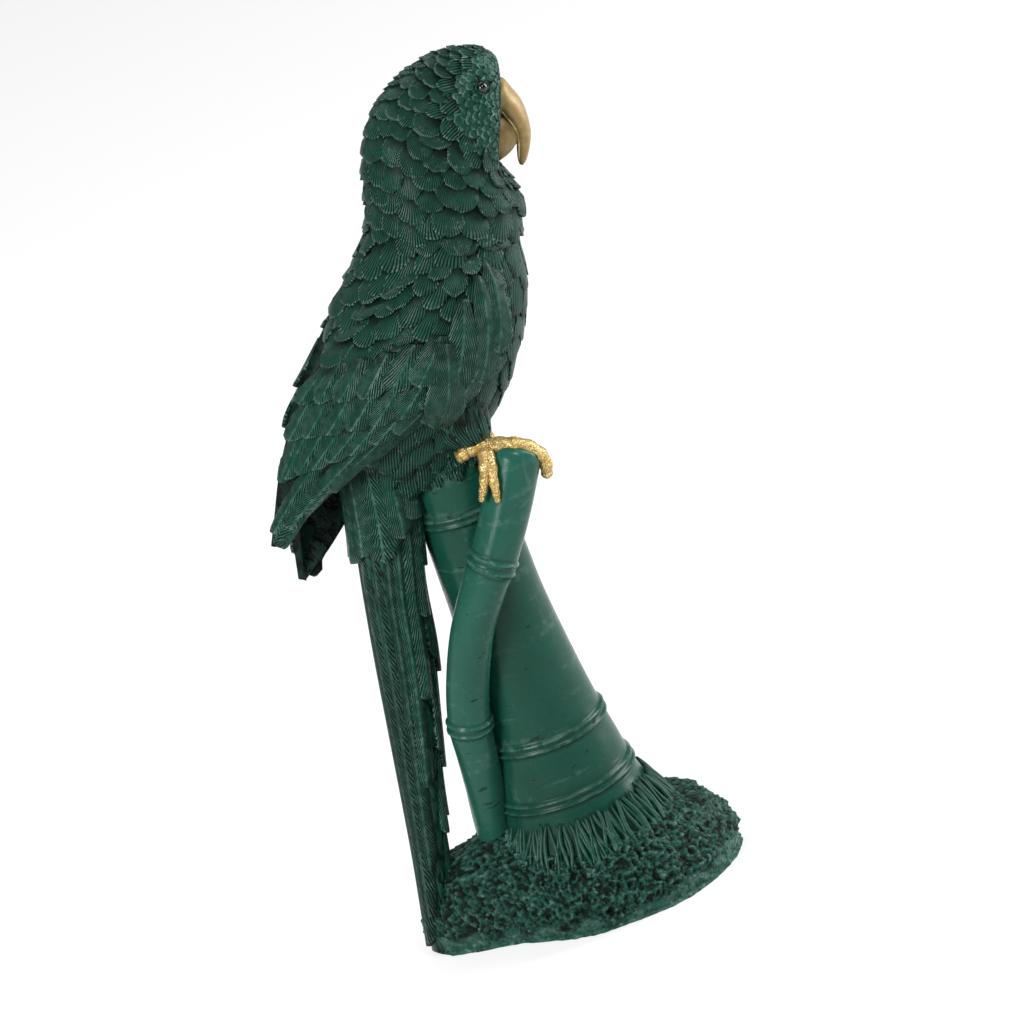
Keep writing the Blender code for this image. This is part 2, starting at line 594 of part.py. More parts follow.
def cut_foot_flat(casting):
    """A level cut at Z = 0 that leaves the flat underside."""
    bm = bmesh.new()
    bmesh.ops.create_cube(bm, size=1.0)
    bmesh.ops.scale(bm, vec=FOOT_CUTTER, verts=bm.verts)
    bmesh.ops.translate(bm, vec=(0.0, 0.0, -FOOT_CUTTER[2] / 2), verts=bm.verts)
    bmesh.ops.scale(bm, vec=(MM, MM, MM), verts=bm.verts)
    mesh = bpy.data.meshes.new("foot_cutter")
    bm.to_mesh(mesh)
    bm.free()
    cutter = bpy.data.objects.new("foot_cutter", mesh)
    cutter.hide_render = True
    cutter.display_type = "WIRE"
    bpy.context.scene.collection.objects.link(cutter)
    cut = casting.modifiers.new("cut the foot flat", "BOOLEAN")
    cut.operation = "DIFFERENCE"
    cut.object = cutter


def paint(casting):
    """Satin green paint over the resin."""
    material = bpy.data.materials.new("green_paint")
    material.use_nodes = True
    surface = material.node_tree.nodes["Principled BSDF"]
    surface.inputs["Base Color"].default_value = PAINT
    surface.inputs["Roughness"].default_value = PAINT_ROUGHNESS
    surface.inputs["Metallic"].default_value = 0.0
    casting.data.materials.append(material)


def main():
    for item in list(bpy.data.objects):
        bpy.data.objects.remove(item, do_unlink=True)
    casting = build_casting()
    cut_foot_flat(casting)
    paint(casting)


main()
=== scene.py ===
"""Parrot figurine on bamboo: the looks of one painted resin casting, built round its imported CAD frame.

All shapes are worked out in millimetres, with +Z up, the bird facing +X and its midplane at Y = 0,
and are written to the meshes in metres. The near side, at -Y, is the bird's right.
"""

import logging
import math
from collections.abc import Callable, Sequence
from dataclasses import dataclass, field
from enum import Enum

import bmesh
import bpy
import numpy as np
from mathutils import Matrix, Quaternion, Vector, noise


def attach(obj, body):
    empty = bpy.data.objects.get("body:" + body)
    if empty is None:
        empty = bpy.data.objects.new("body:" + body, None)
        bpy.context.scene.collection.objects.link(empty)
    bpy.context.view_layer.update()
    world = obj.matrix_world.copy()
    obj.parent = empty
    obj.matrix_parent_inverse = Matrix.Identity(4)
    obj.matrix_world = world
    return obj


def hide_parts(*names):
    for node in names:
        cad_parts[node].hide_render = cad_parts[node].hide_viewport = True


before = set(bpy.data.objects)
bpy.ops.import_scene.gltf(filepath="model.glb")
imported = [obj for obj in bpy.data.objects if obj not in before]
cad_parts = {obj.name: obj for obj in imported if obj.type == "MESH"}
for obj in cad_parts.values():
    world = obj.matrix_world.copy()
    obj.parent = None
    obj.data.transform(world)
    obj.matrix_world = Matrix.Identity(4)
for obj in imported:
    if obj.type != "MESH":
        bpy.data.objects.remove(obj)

MM = 0.001
NODE = "parrot_figurine"
SEED = 11
log = logging.getLogger("scene")


class Side(Enum):
    """The two sides of the bird, as the sign of Y."""

    NEAR = -1
    FAR = 1


class Barbs(Enum):
    """How the grooves of a feather run, as the value that its vertices carry."""

    FAN = 0.0
    VANE = 0.5
    TICK = 0.75
    HAIR = 1.0


@dataclass(frozen=True)
class PlumeStyle:
    """Proportions of one kind of feather, in millimetres.

    Attributes:
        barbs: How the grooves run.
        thickness: Thickness of the plate at its rim.
        lift: How far the tip stands off the form below.
        camber: How far the sides drop below the shaft.
        tip: Length of the rounded tip as a share of the width.
        root: Width at the root as a share of the full width.
        grid: Columns and rows of faces on the upper side.
        rag: Random unevenness of the rim.
    """

    barbs: Barbs
    thickness: float
    lift: float
    camber: float
    tip: float = 0.5
    root: float = 0.55
    grid: tuple[int, int] = (6, 5)
    rag: float = 0.18


@dataclass(frozen=True)
class PaintFinish:
    """Colours and gloss of one paint, with painted shade in its hollows and painted highlight on its rims.

    Attributes:
        body: Colour of the paint on open faces.
        hollow: Colour of the painted shade in grooves and under rims, partly paint pooled there.
        rim: Colour of the painted highlight on raised edges, partly dry-brush paint.
        roughness: Roughness on open faces.
        metallic: Share of metal.
    """

    body: tuple[float, float, float]
    hollow: tuple[float, float, float]
    rim: tuple[float, float, float]
    roughness: float
    metallic: float = 0.0


# Bird, from the beak over the crown to the vent: upper or rear point x, z; lower or front
# point x, z; half width
BODY = (
    (51.0, 242.5, 42.0, 221.2, 7.0),
    (51.9, 249.4, 41.8, 219.2, 10.2),
    (46.6, 253.8, 42.4, 217.4, 12.4),
    (37.4, 254.9, 42.6, 215.8, 13.6),
    (27.6, 253.0, 43.5, 213.6, 14.6),
    (18.2, 248.0, 44.4, 211.2, 15.4),
    (11.2, 240.2, 44.9, 208.6, 16.2),
    (6.9, 230.6, 44.7, 205.6, 17.2),
    (4.6, 221.4, 43.5, 202.2, 18.6),
    (2.0, 213.4, 41.7, 198.8, 20.4),
    (-4.3, 204.4, 40.4, 194.0, 22.3),
    (-12.4, 196.0, 39.5, 187.0, 23.6),
    (-19.5, 187.0, 37.4, 179.5, 24.2),
    (-24.0, 177.0, 34.0, 172.0, 23.6),
    (-26.0, 167.0, 29.6, 164.5, 21.8),
    (-27.0, 157.0, 24.3, 157.0, 19.0),
    (-27.5, 148.0, 18.0, 150.5, 15.5),
    (-27.0, 140.0, 12.5, 144.5, 12.0),
    (-24.0, 133.0, 3.0, 138.0, 8.5),
)
TAIL = (
    (-29.0, 152.0, -8.0, 150.0, 10.0),
    (-31.5, 128.0, -11.5, 128.0, 10.0),
    (-34.8, 108.0, -17.2, 108.0, 9.6),
    (-37.9, 88.0, -21.2, 88.0, 8.8),
    (-41.0, 66.0, -27.2, 66.0, 7.8),
    (-43.8, 46.0, -33.0, 46.0, 6.8),
    (-46.4, 28.0, -37.6, 28.0, 5.8),
    (-51.0, 1.0, -44.0, 1.0, 4.6),
)
# Near wing from shoulder to tip: a point on the back, one on the flank and one on the lower edge
NEAR_WING = (
    (6.0, -10.5, 205.0, 18.0, -18.3, 206.0, 30.0, -16.5, 204.0),
    (-6.0, -12.0, 197.2, 12.0, -25.0, 200.0, 30.5, -22.0, 192.0),
    (-15.0, -9.0, 190.6, 4.0, -26.3, 191.0, 27.0, -24.3, 180.0),
    (-23.5, -6.5, 183.0, -4.0, -26.3, 182.0, 18.5, -24.5, 169.5),
    (-31.0, -4.0, 175.0, -12.0, -24.6, 173.0, 7.0, -23.5, 164.0),
    (-37.5, -2.5, 167.0, -20.0, -21.5, 165.0, -5.5, -21.0, 160.8),
    (-42.5, -1.5, 159.0, -28.5, -17.8, 158.0, -18.0, -17.6, 155.4),
    (-46.5, -1.2, 151.5, -36.8, -13.5, 151.0, -30.0, -13.6, 149.8),
    (-50.5, -2.0, 143.0, -45.2, -9.5, 143.5, -41.5, -9.5, 143.8),
    (-54.6, -4.0, 134.8, -53.6, -5.4, 134.6, -52.6, -5.6, 134.6),
)
WINGS_MATCH = 5
FAR_WING_END = (
    (-41.5, 1.5, 157.5, -28.0, 17.4, 155.0, -15.5, 17.0, 149.5),
    (-44.5, 1.2, 148.0, -35.0, 12.8, 144.5, -25.0, 12.0, 135.5),
    (-47.5, 2.0, 136.0, -42.5, 8.8, 133.0, -37.5, 8.0, 125.0),
    (-50.6, 4.0, 119.5, -49.6, 5.4, 118.3, -48.6, 5.4, 118.0),
)
WING_THICKNESS = (6.5, 6.5, 6.5, 6.5, 6.0, 5.0, 4.0, 3.0, 2.4, 1.8)

# Plumage
SCALE = PlumeStyle(Barbs.FAN, 1.2, 1.8, 0.55, tip=0.5, root=0.7, grid=(8, 6))
CROWN = PlumeStyle(Barbs.HAIR, 0.7, 0.9, 0.3, tip=0.75, root=0.6)
DOWN = PlumeStyle(Barbs.TICK, 0.22, 0.24, 0.08, tip=0.6, root=0.6, grid=(4, 4), rag=0.1)
STRAND = PlumeStyle(Barbs.HAIR, 0.7, 0.9, 0.3, tip=1.5, root=0.45, grid=(4, 8), rag=0.1)
BREAST = PlumeStyle(Barbs.HAIR, 0.9, 1.15, 0.5, tip=0.8, root=0.6)
COVERT = PlumeStyle(Barbs.VANE, 1.4, 2.1, 1.1, tip=0.55, root=0.6, grid=(8, 10))
BIG_COVERT = PlumeStyle(Barbs.VANE, 1.6, 2.3, 0.9, tip=0.6, root=0.6, grid=(10, 12), rag=0.1)
SLEEK = PlumeStyle(Barbs.VANE, 1.0, 1.3, 0.8, tip=0.65, root=0.35, grid=(8, 14), rag=0.08)
QUILL = PlumeStyle(Barbs.VANE, 1.4, 1.7, 1.2, tip=0.75, root=0.55, grid=(8, 22), rag=0.12)
TAIL_QUILL = PlumeStyle(Barbs.VANE, 1.5, 1.2, 1.7, tip=0.8, root=0.7, grid=(8, 30), rag=0.12)
COLUMN_PITCH = 0.7  # distance from one feather to the next in a column, as a share of its length
EYE_CLEARANCE = 2.9
SIZE_JITTER, ROOT_JITTER, TIP_JITTER = (0.82, 1.14), 0.08, 0.24  # of a column's feathers
BODY_COLUMNS, FACE_COLUMNS = 24, 54
# Columns of the face, head and body: first and last station, and where scales give way to soft feathers
FACE_START, HEAD_END, BODY_START, BODY_END, SCALES_END = 0.03, 8.3, 8.0, 17.0, 10.5
# Over the station along the body: length of the feathers, and width over the columns' spacing
FACE_LENGTH, FACE_SPREAD, FACE_LEAST = ((0.0, 2.1), (3.0, 3.2)), ((0.0, 1.35),), 1.2
BODY_LENGTH = ((1.5, 4.0), (3.4, 5.6), (5.2, 8.6), (7.0, 10.5), (10.0, 12.0), (13.0, 13.0), (18.0, 15.0))
BODY_SPREAD = ((1.0, 1.45), (5.0, 1.6), (9.0, 1.6), (14.0, 1.4), (18.0, 1.3))
# Station where the face ends, over the turn from the throat in degrees
FACE_EDGE = ((0.0, 1.7), (40.0, 2.2), (90.0, 3.3), (125.0, 3.0), (150.0, 2.0), (180.0, 1.3))
# Wing rows from the tip of the wing upwards: place across the wing, station of the tip
PRIMARIES = ((0.15, 8.6), (0.35, 8.9), (0.55, 8.75), (0.66, 8.35), (0.77, 7.85), (0.87, 7.1), (0.96, 6.2))
SECONDARIES = (
    (0.04, 7.0), (0.15, 6.85), (0.26, 6.6), (0.37, 6.35), (0.48, 6.05),
    (0.59, 5.7), (0.7, 5.3), (0.81, 4.9), (0.92, 4.5),
)
GREATER_COVERTS = (
    (0.08, 5.5), (0.2, 5.3), (0.33, 5.1), (0.46, 4.85),
    (0.58, 4.6), (0.7, 4.3), (0.82, 4.0), (0.93, 3.75),
)
MEDIAN_COVERTS = ((0.06, 4.35), (0.18, 4.2), (0.31, 4.05), (0.44, 3.85), (0.56, 3.6), (0.68, 3.35))
# Each row: tips, length, width, proportions, height above the wing
WING_ROWS = (
    (PRIMARIES, 46.0, 7.8, QUILL, 0.5),
    (SECONDARIES, 36.0, 8.6, QUILL, 1.1),
    (GREATER_COVERTS, 21.0, 9.4, COVERT, 1.9),
    (MEDIAN_COVERTS, 14.0, 9.4, COVERT, 2.6),
)
WING_SCALE_COLUMNS, WING_SCALES_END = 8, (2.5, 0.35)
WING_SCALE_LENGTH = ((0.0, 10.0), (2.0, 12.0), (3.0, 13.0))
WING_SCALE_SPREAD = ((0.0, 1.9), (1.0, 1.55), (3.0, 1.6))
# Sleek feathers of the leading edge, then the big covert: station and place of the root, of the tip, width
LEADING_FEATHERS = (
    (0.4, 0.95, 2.4, 0.99, 8.5),
    (0.8, 0.86, 3.1, 0.97, 10.0),
    (1.3, 0.76, 3.4, 0.86, 10.5),
    (2.3, 0.72, 4.35, 0.94, 13.0),
)
LEADING_STAND = (1.5, 2.0, 2.5, 3.5)
# Tail: turn from the front in degrees and station of the tip, and at the front, stations of root and tip
TAIL_FEATHERS = (
    (180.0, 6.95), (152.0, 6.9), (126.0, 6.6), (102.0, 6.05), (84.0, 4.7), (62.0, 3.5), (40.0, 2.4),
)
TAIL_COVERTS = ((165.0, 1.35), (135.0, 1.2), (105.0, 1.3), (75.0, 1.05), (45.0, 0.9))
TAIL_FRONT = ((0.3, 1.6), (1.3, 3.1), (2.8, 4.4), (4.1, 5.6), (5.3, 6.8))
TAIL_WIDTH, TAIL_FRONT_WIDTH, TAIL_COVERT_WIDTH = ((0.0, 7.6), (8.0, 6.0)), ((0.0, 6.0), (7.0, 3.6)), 9.5

# Beak: ridge x, z; cutting edge x, z; half width
UPPER_BEAK = (
    (45.0, 241.0, 42.0, 231.0, 6.0),
    (51.4, 242.4, 47.2, 233.4, 6.2),
    (53.6, 238.1, 48.6, 231.2, 6.0),
    (54.9, 233.7, 49.6, 228.8, 5.4),
    (55.0, 228.7, 50.1, 226.2, 4.6),
    (54.2, 223.9, 49.8, 223.2, 3.6),
    (52.3, 219.7, 48.9, 219.8, 2.7),
    (50.6, 217.0, 48.3, 217.6, 1.8),
    (49.2, 215.7, 48.2, 216.4, 0.8),
)
LOWER_BEAK = (
    (44.0, 233.5, 38.0, 223.0, 5.4),
    (49.2, 233.0, 42.2, 219.8, 5.5),
    (50.8, 230.2, 44.0, 219.8, 5.0),
    (51.4, 227.2, 46.4, 220.8, 4.0),
    (51.0, 225.0, 48.4, 222.2, 2.4),
)
# Lip along the upper beak's edge, over its station: turn in degrees and radius
LIP_TURN = ((0.0, 52.0), (3.0, 40.0), (5.0, 34.0), (8.0, 26.0))
LIP_RADIUS = ((0.0, 0.12), (1.2, 0.3), (4.0, 0.42), (6.0, 0.34), (7.6, 0.1))
BEAK_SIDES, LIP_POINTS = 44, 60
EYE_STATION, EYE_TURN, EYE_STAND = 2.06, 123.0, 0.75
EYE_RADIUS, LID_RADIUS, LID_THICKNESS = 1.6, 1.72, 0.27
# Depth of the body's skin under its feathers, over the station
CORE_SINK = ((0.0, 0.1), (2.0, 0.45), (4.0, 0.85), (18.0, 0.85))

# Bamboo
STEM_LEAN = ((5.0, 2.4), (40.0, 1.2), (90.0, 0.3), (142.0, 0.0))
STEM_Y = 2.0
STEM_RADII = (
    (5.0, 22.0), (14.0, 24.0), (19.5, 26.5), (26.0, 23.0), (33.0, 20.3), (45.0, 18.8),
    (53.0, 17.4), (66.0, 15.9), (82.0, 14.5), (95.0, 13.6), (142.0, 13.0),
)
STEM_RINGS = (36.5, 53.5, 125.0)
RING_HALF_HEIGHT, RING_STAND = 1.9, 1.05
RING_LIP_PLACE, RING_LIP_WIDTH = 0.58, 0.2  # as shares of the half height
STALK_PATH = (
    (-22.6, 2.5, 14.0),
    (-22.4, 0.5, 30.0),
    (-20.8, -4.5, 45.0),
    (-19.8, -7.8, 56.0),
    (-18.8, -10.0, 66.0),
    (-15.6, -11.8, 78.0),
    (-9.6, -15.4, 93.5),
    (-2.0, -18.0, 106.5),
    (4.2, -18.4, 115.0),
    (12.2, -17.2, 127.5),
    (20.6, -15.0, 142.6),
)
STALK_RADII = (
    (14.0, 5.2), (30.0, 5.3), (45.0, 5.6), (56.0, 5.9), (66.0, 6.2), (98.0, 6.2),
    (115.0, 6.8), (139.6, 7.5), (142.6, 6.3),
)
STALK_RINGS = (66.0, 113.0)

# Rock
ROCK_CENTRE = (-4.0, 0.0)
ROCK_OUTLINE = (
    (-51.0, 1.0), (-46.5, -7.5), (-38.0, -12.5), (-30.0, -15.5), (-21.0, -21.5), (-13.0, -27.5),
    (-4.0, -31.0), (5.0, -31.0), (14.0, -31.0), (22.5, -28.3), (31.0, -22.0), (37.5, -14.5),
    (42.0, -5.0), (43.0, 4.0), (40.5, 13.0), (33.5, 21.0), (22.0, 26.5), (9.0, 29.8),
    (-6.0, 30.0), (-19.0, 26.5), (-31.0, 21.0), (-41.0, 14.5), (-48.0, 8.5),
)
# From the top to the underside: share of the outline, height
ROCK_PROFILE = (
    (0.05, 27.0), (0.3, 26.8), (0.5, 25.6), (0.66, 23.2), (0.76, 21.0), (0.84, 19.0), (0.91, 15.5),
    (0.965, 11.5), (0.995, 8.0), (1.0, 4.4), (0.985, 1.2), (0.96, 0.0), (0.5, 0.0),
)
ROCK_TAIL_RISE = 0.14  # how much higher the rock is under the tail, as a share
ROCK_GRID = (620, 130)  # points round it and rings
ROOT_COUNT, ROOT_SIDES = 92, 6  # roots per row, of two rows
ROOT_RADII = (0.27, 0.5, 0.62, 0.68, 0.7, 0.68, 0.66, 0.62, 0.58, 0.5, 0.4, 0.2)
ROOT_TOP, ROOT_FOOT = (21.2, 31.2), (28.8, 18.2)  # distance from the stem's middle, and height

FRONT_TOE = (
    (12.0, -15.4, 145.6),
    (18.0, -17.8, 144.8),
    (23.6, -18.2, 141.8),
    (26.4, -16.8, 136.5),
    (25.6, -15.0, 130.2),
)
# Toes: points, radius at the first and the last
NEAR_TOES = (
    (((13.0, -14.8, 145.8), (8.0, -16.0, 146.2), (3.2, -17.0, 145.6)), 2.2, 1.9),
    (FRONT_TOE, 2.3, 1.8),
    (((12.0, -15.5, 146.0), (10.2, -20.6, 142.6), (8.0, -23.0, 137.8), (5.6, -22.4, 132.8)), 2.1, 0.9),
    (((12.4, -15.5, 146.0), (11.8, -21.4, 141.8), (10.6, -23.8, 136.0), (10.0, -23.6, 131.2)), 2.0, 0.9),
)
FAR_TOES = (
    (((4.0, 13.5, 142.5), (-2.0, 15.0, 141.6), (-7.5, 15.2, 140.2)), 2.2, 1.7),
    (((4.0, 13.0, 142.5), (10.0, 12.2, 141.5), (14.0, 10.0, 138.0), (14.4, 7.5, 131.5)), 2.2, 1.4),
    (((4.0, 13.5, 142.0), (3.6, 15.9, 138.0), (2.6, 15.9, 130.0)), 2.1, 1.0),
    (((4.0, 13.5, 142.0), (7.6, 14.6, 138.0), (8.6, 13.4, 130.6)), 2.0, 1.0),
)
# Legs: Y of the middle, and slices as rear x, z; front x, z; half width
NEAR_LEG = (
    (-3.0, 159.0, 17.0, 160.0, 7.5),
    (-2.0, 153.0, 16.0, 154.0, 7.0),
    (2.0, 148.5, 14.6, 149.0, 5.2),
    (6.0, 145.5, 12.8, 145.8, 3.4),
)
FAR_LEG = (
    (-6.0, 155.0, 12.0, 156.0, 7.5),
    (-5.0, 149.0, 11.0, 150.0, 6.6),
    (-1.5, 145.0, 8.5, 145.4, 4.6),
    (1.5, 142.5, 6.5, 142.8, 3.0),
)
LEGS = ((-12.0, NEAR_LEG), (11.0, FAR_LEG))
THIGH_COLUMNS, THIGH_LENGTH, THIGH_SPREAD = 26, ((0.0, 13.0), (3.0, 8.0)), ((0.0, 1.5), (3.0, 2.4))
# Fringe of the vent over the stem's top, and its rows: heights of root and tip above its foot
FRINGE_MIDDLE, FRINGE_RADIUS, FRINGE_FOOT = (0.2, 2.0), 13.3, 137.5
FRINGE_ROWS, FRINGE_COLUMNS, FRINGE_WIDTH = ((18.0, 9.0), (14.0, 3.5), (10.0, 0.0)), 38, 3.4
TOE_RINGS, TOE_SIDES = 60, 24

# Paints: colour of the body, of the hollows (painted shade) and of the rims (painted highlight), roughness,
# share of metal
GREEN = PaintFinish((0.010, 0.074, 0.049), (0.0006, 0.0050, 0.0032), (0.115, 0.235, 0.190), 0.30)
BAMBOO = PaintFinish((0.008, 0.067, 0.044), (0.003, 0.018, 0.012), (0.085, 0.185, 0.150), 0.27)
# The stalk's paint is the bamboo's green painted lighter: a lit copy of it, as painted light on the stalk.
STALK = PaintFinish((0.019, 0.108, 0.075), (0.003, 0.018, 0.012), (0.110, 0.230, 0.190), 0.24)
ROCK = PaintFinish((0.011, 0.078, 0.054), (0.0006, 0.0046, 0.0030), (0.115, 0.230, 0.190), 0.32)
GOLD = PaintFinish((0.315, 0.215, 0.078), (0.07, 0.042, 0.010), (0.72, 0.59, 0.32), 0.48, 0.25)
FOOT_GOLD = PaintFinish((0.72, 0.50, 0.17), (0.08, 0.045, 0.010), (0.95, 0.83, 0.52), 0.30, 0.8)
EYE_BLACK = PaintFinish((0.004, 0.0035, 0.0035), (0.002, 0.002, 0.002), (0.01, 0.01, 0.01), 0.06)
# Feather grooves: how close the fans, the barbs beside a shaft and the hairs stand
FAN_PITCH, VANE_PITCH, HAIR_PITCH = 90.0, 10.8, 7.6
FEATHER_GLOSS, BAMBOO_GLOSS, ROCK_GLOSS, EYE_GLOSS, EYE_COAT = 0.17, 0.2, 0.16, 0.2, 0.85

# View: the photograph looks down at the figurine and is turned in its layout
VIEW_TARGET = (12.8, 0.0, 118.1)
VIEW_ELEVATION, VIEW_ROLL = 21.0, -19.9
VIEW_DISTANCE, VIEW_SCALE = 9000.0, 3.53  # millimetres, pixels per millimetre
PICTURE, SENSOR = 1024, 36.0

Point = Callable[[np.ndarray, np.ndarray], np.ndarray]
Socket = bpy.types.NodeSocket


def read_curve(rows: Sequence[Sequence[float]], place: np.ndarray) -> np.ndarray:
    """Reads a smooth curve that passes through rows of numbers.

    Args:
        rows: The rows, one per station.
        place: Places along the curve, counted in rows.

    Returns:
        One row of values per place.
    """
    rows = np.asarray(rows, float)
    last = len(rows) - 1
    padded = np.vstack([2 * rows[0] - rows[1], rows, 2 * rows[-1] - rows[-2]])
    place = np.clip(np.asarray(place, float), 0.0, last)
    cell = np.minimum(np.floor(place).astype(int), last - 1)
    f = (place - cell)[..., None]
    a, b, c, d = (padded[cell + k] for k in range(4))
    return b + 0.5 * f * (c - a + f * (2 * a - 5 * b + 4 * c - d + f * (3 * (b - c) + d - a)))


def graph(points: Sequence[Sequence[float]], x: float | np.ndarray) -> float | np.ndarray:
    """Reads a graph of straight lines.

    Args:
        points: The graph's corners, as x and height.
        x: Where to read it.

    Returns:
        The height at x.
    """
    return np.interp(x, [p[0] for p in points], [p[1] for p in points])


def slice_skin(stations: Sequence[Sequence[float]]) -> Point:
    """Makes the skin of a form of oval slices, with turn 0 at the lower or front edge.

    Args:
        stations: Slices as upper x, z; lower x, z; half width.

    Returns:
        A function from station and turn to points.
    """

    def point(s: np.ndarray, t: np.ndarray) -> np.ndarray:
        """Finds the points at stations and places."""
        x0, z0, x1, z1, half_width = np.moveaxis(read_curve(stations, s), -1, 0)
        return np.stack(
            [
                (x0 + x1) / 2 + (x1 - x0) / 2 * np.cos(t),
                -half_width * np.sin(t),
                (z0 + z1) / 2 + (z1 - z0) / 2 * np.cos(t),
            ],
            axis=-1,
        )

    return point


def flank_skin(stations: Sequence[Sequence[float]]) -> Point:
    """Makes the skin of a wing, with t from 0 on the back to 1 at the lower edge.

    Args:
        stations: A back, a flank and an edge point per station.

    Returns:
        A function from station and place across to points.
    """

    def point(s: np.ndarray, t: np.ndarray) -> np.ndarray:
        """Finds the points at stations and places."""
        back, flank, edge = np.split(read_curve(stations, s), 3, axis=-1)
        t = np.asarray(t, float)[..., None]
        return back * (1 - t) * (1 - 2 * t) + 4 * flank * t * (1 - t) + edge * t * (2 * t - 1)

    return point


def pipe_skin(centre: tuple[float, float], radius: float, bottom: float) -> Point:
    """Makes an upright round skin, whose s runs down from a height of bottom plus 10 per unit.

    Args:
        centre: Middle of the pipe, x and y.
        radius: Its radius.
        bottom: Height at s = 1.

    Returns:
        A function from station and turn to points.
    """

    def point(s: np.ndarray, t: np.ndarray) -> np.ndarray:
        """Finds the points at stations and places."""
        s, t = np.broadcast_arrays(np.asarray(s, float), np.asarray(t, float))
        height = bottom + 10.0 * (1 - s)
        return np.stack([centre[0] + radius * np.cos(t), centre[1] - radius * np.sin(t), height], axis=-1)

    return point


class Skin:
    """A surface with points at (s, t) and heights above it."""

    STEP = 0.02

    def __init__(self, point: Point, outward: int) -> None:
        """Keeps the surface.

        Args:
            point: Function from s and t to points.
            outward: 1 where t, s and the outward normal make a right-handed set, else -1.
        """
        self.point = point
        self.outward = outward

    def at(self, s: np.ndarray, t: np.ndarray, height: np.ndarray) -> np.ndarray:
        """Finds points at heights above the surface.

        Args:
            s: Stations.
            t: Places across, or turns.
            height: Heights above the surface.

        Returns:
            The points.
        """
        s, t, height = np.broadcast_arrays(np.asarray(s, float), np.asarray(t, float), height)
        along = self.point(s + self.STEP, t) - self.point(s - self.STEP, t)
        across = self.point(s, t + self.STEP) - self.point(s, t - self.STEP)
        normal = np.cross(across, along) * self.outward
        length = np.maximum(np.linalg.norm(normal, axis=-1, keepdims=True), 1e-9)
        return self.point(s, t) + normal / length * height[..., None]

    def run(self, s: np.ndarray, t: np.ndarray) -> np.ndarray:
        """Measures the length of one unit of s.

        Args:
            s: Stations.
            t: Places across.

        Returns:
            Lengths in millimetres.
        """
        reach = self.point(s + self.STEP, t) - self.point(s - self.STEP, t)
        return np.linalg.norm(reach, axis=-1) / (2 * self.STEP)

    def girth(self, s: np.ndarray, t: np.ndarray) -> np.ndarray:
        """Measures the length of one unit of t.

        Args:
            s: Stations.
            t: Places across.

        Returns:
            Lengths in millimetres.
        """
        reach = self.point(s, t + self.STEP) - self.point(s, t - self.STEP)
        return np.linalg.norm(reach, axis=-1) / (2 * self.STEP)


@dataclass
class Pile:
    """Closed forms gathered into one mesh, with what the paints read at each vertex.

    Attributes:
        verts: Blocks of points.
        faces: Faces as lists of vertex numbers.
        quill: Blocks of feather coordinates: across, along, length.
        tint: Blocks of place along the feather, chance value and kind of barbs.
        edge: Blocks of nearness to a raised rim, depth under one, and hollowness or place across.
    """

    verts: list[np.ndarray] = field(default_factory=list)
    faces: list[list[int]] = field(default_factory=list)
    quill: list[np.ndarray] = field(default_factory=list)
    tint: list[np.ndarray] = field(default_factory=list)
    edge: list[np.ndarray] = field(default_factory=list)
    count: int = 0

    def add(
        self,
        points: np.ndarray,
        faces: Sequence[Sequence[int]],
        quill: np.ndarray | None = None,
        tint: np.ndarray | None = None,
        edge: np.ndarray | None = None,
    ) -> None:
        """Adds one closed form.

        Args:
            points: Its points.
            faces: Its faces, facing outwards.
            quill: Feather coordinates, or none.
            tint: Place, chance and kind of barbs, or none.
            edge: Rim, under and hollow masks, or none.
        """
        blank = np.zeros_like(points)
        self.verts.append(points)
        self.quill.append(blank if quill is None else quill)
        self.tint.append(blank if tint is None else tint)
        self.edge.append(blank if edge is None else edge)
        self.faces.extend([self.count + k for k in face] for face in faces)
        self.count += len(points)

    def add_bmesh(self, bm: bmesh.types.BMesh, edge: np.ndarray | None = None) -> None:
        """Adds a closed form that bmesh operators made, and frees it.

        Args:
            bm: The mesh.
            edge: Masks for its vertices, or none.
        """
        bmesh.ops.recalc_face_normals(bm, faces=bm.faces)
        bm.verts.index_update()
        points = np.array([tuple(vert.co) for vert in bm.verts])
        self.add(points, [[vert.index for vert in face.verts] for face in bm.faces], edge=edge)
        bm.free()

    def to_object(self, name: str, material: bpy.types.Material) -> bpy.types.Object:
        """Makes the piece's object.

        Args:
            name: Its name.
            material: Its paint.

        Returns:
            The object, linked to the scene.
        """
        mesh = bpy.data.meshes.new(name)
        mesh.from_pydata(np.vstack(self.verts) * MM, [], self.faces)
        for label, blocks in (("quill", self.quill), ("tint", self.tint), ("edge", self.edge)):
            layer = mesh.attributes.new(label, "FLOAT_VECTOR", "POINT")
            layer.data.foreach_set("vector", np.vstack(blocks).ravel())
        mesh.shade_smooth()
        mesh.materials.append(material)
        made = bpy.data.objects.new(name, mesh)
        bpy.context.scene.collection.objects.link(made)
        return made


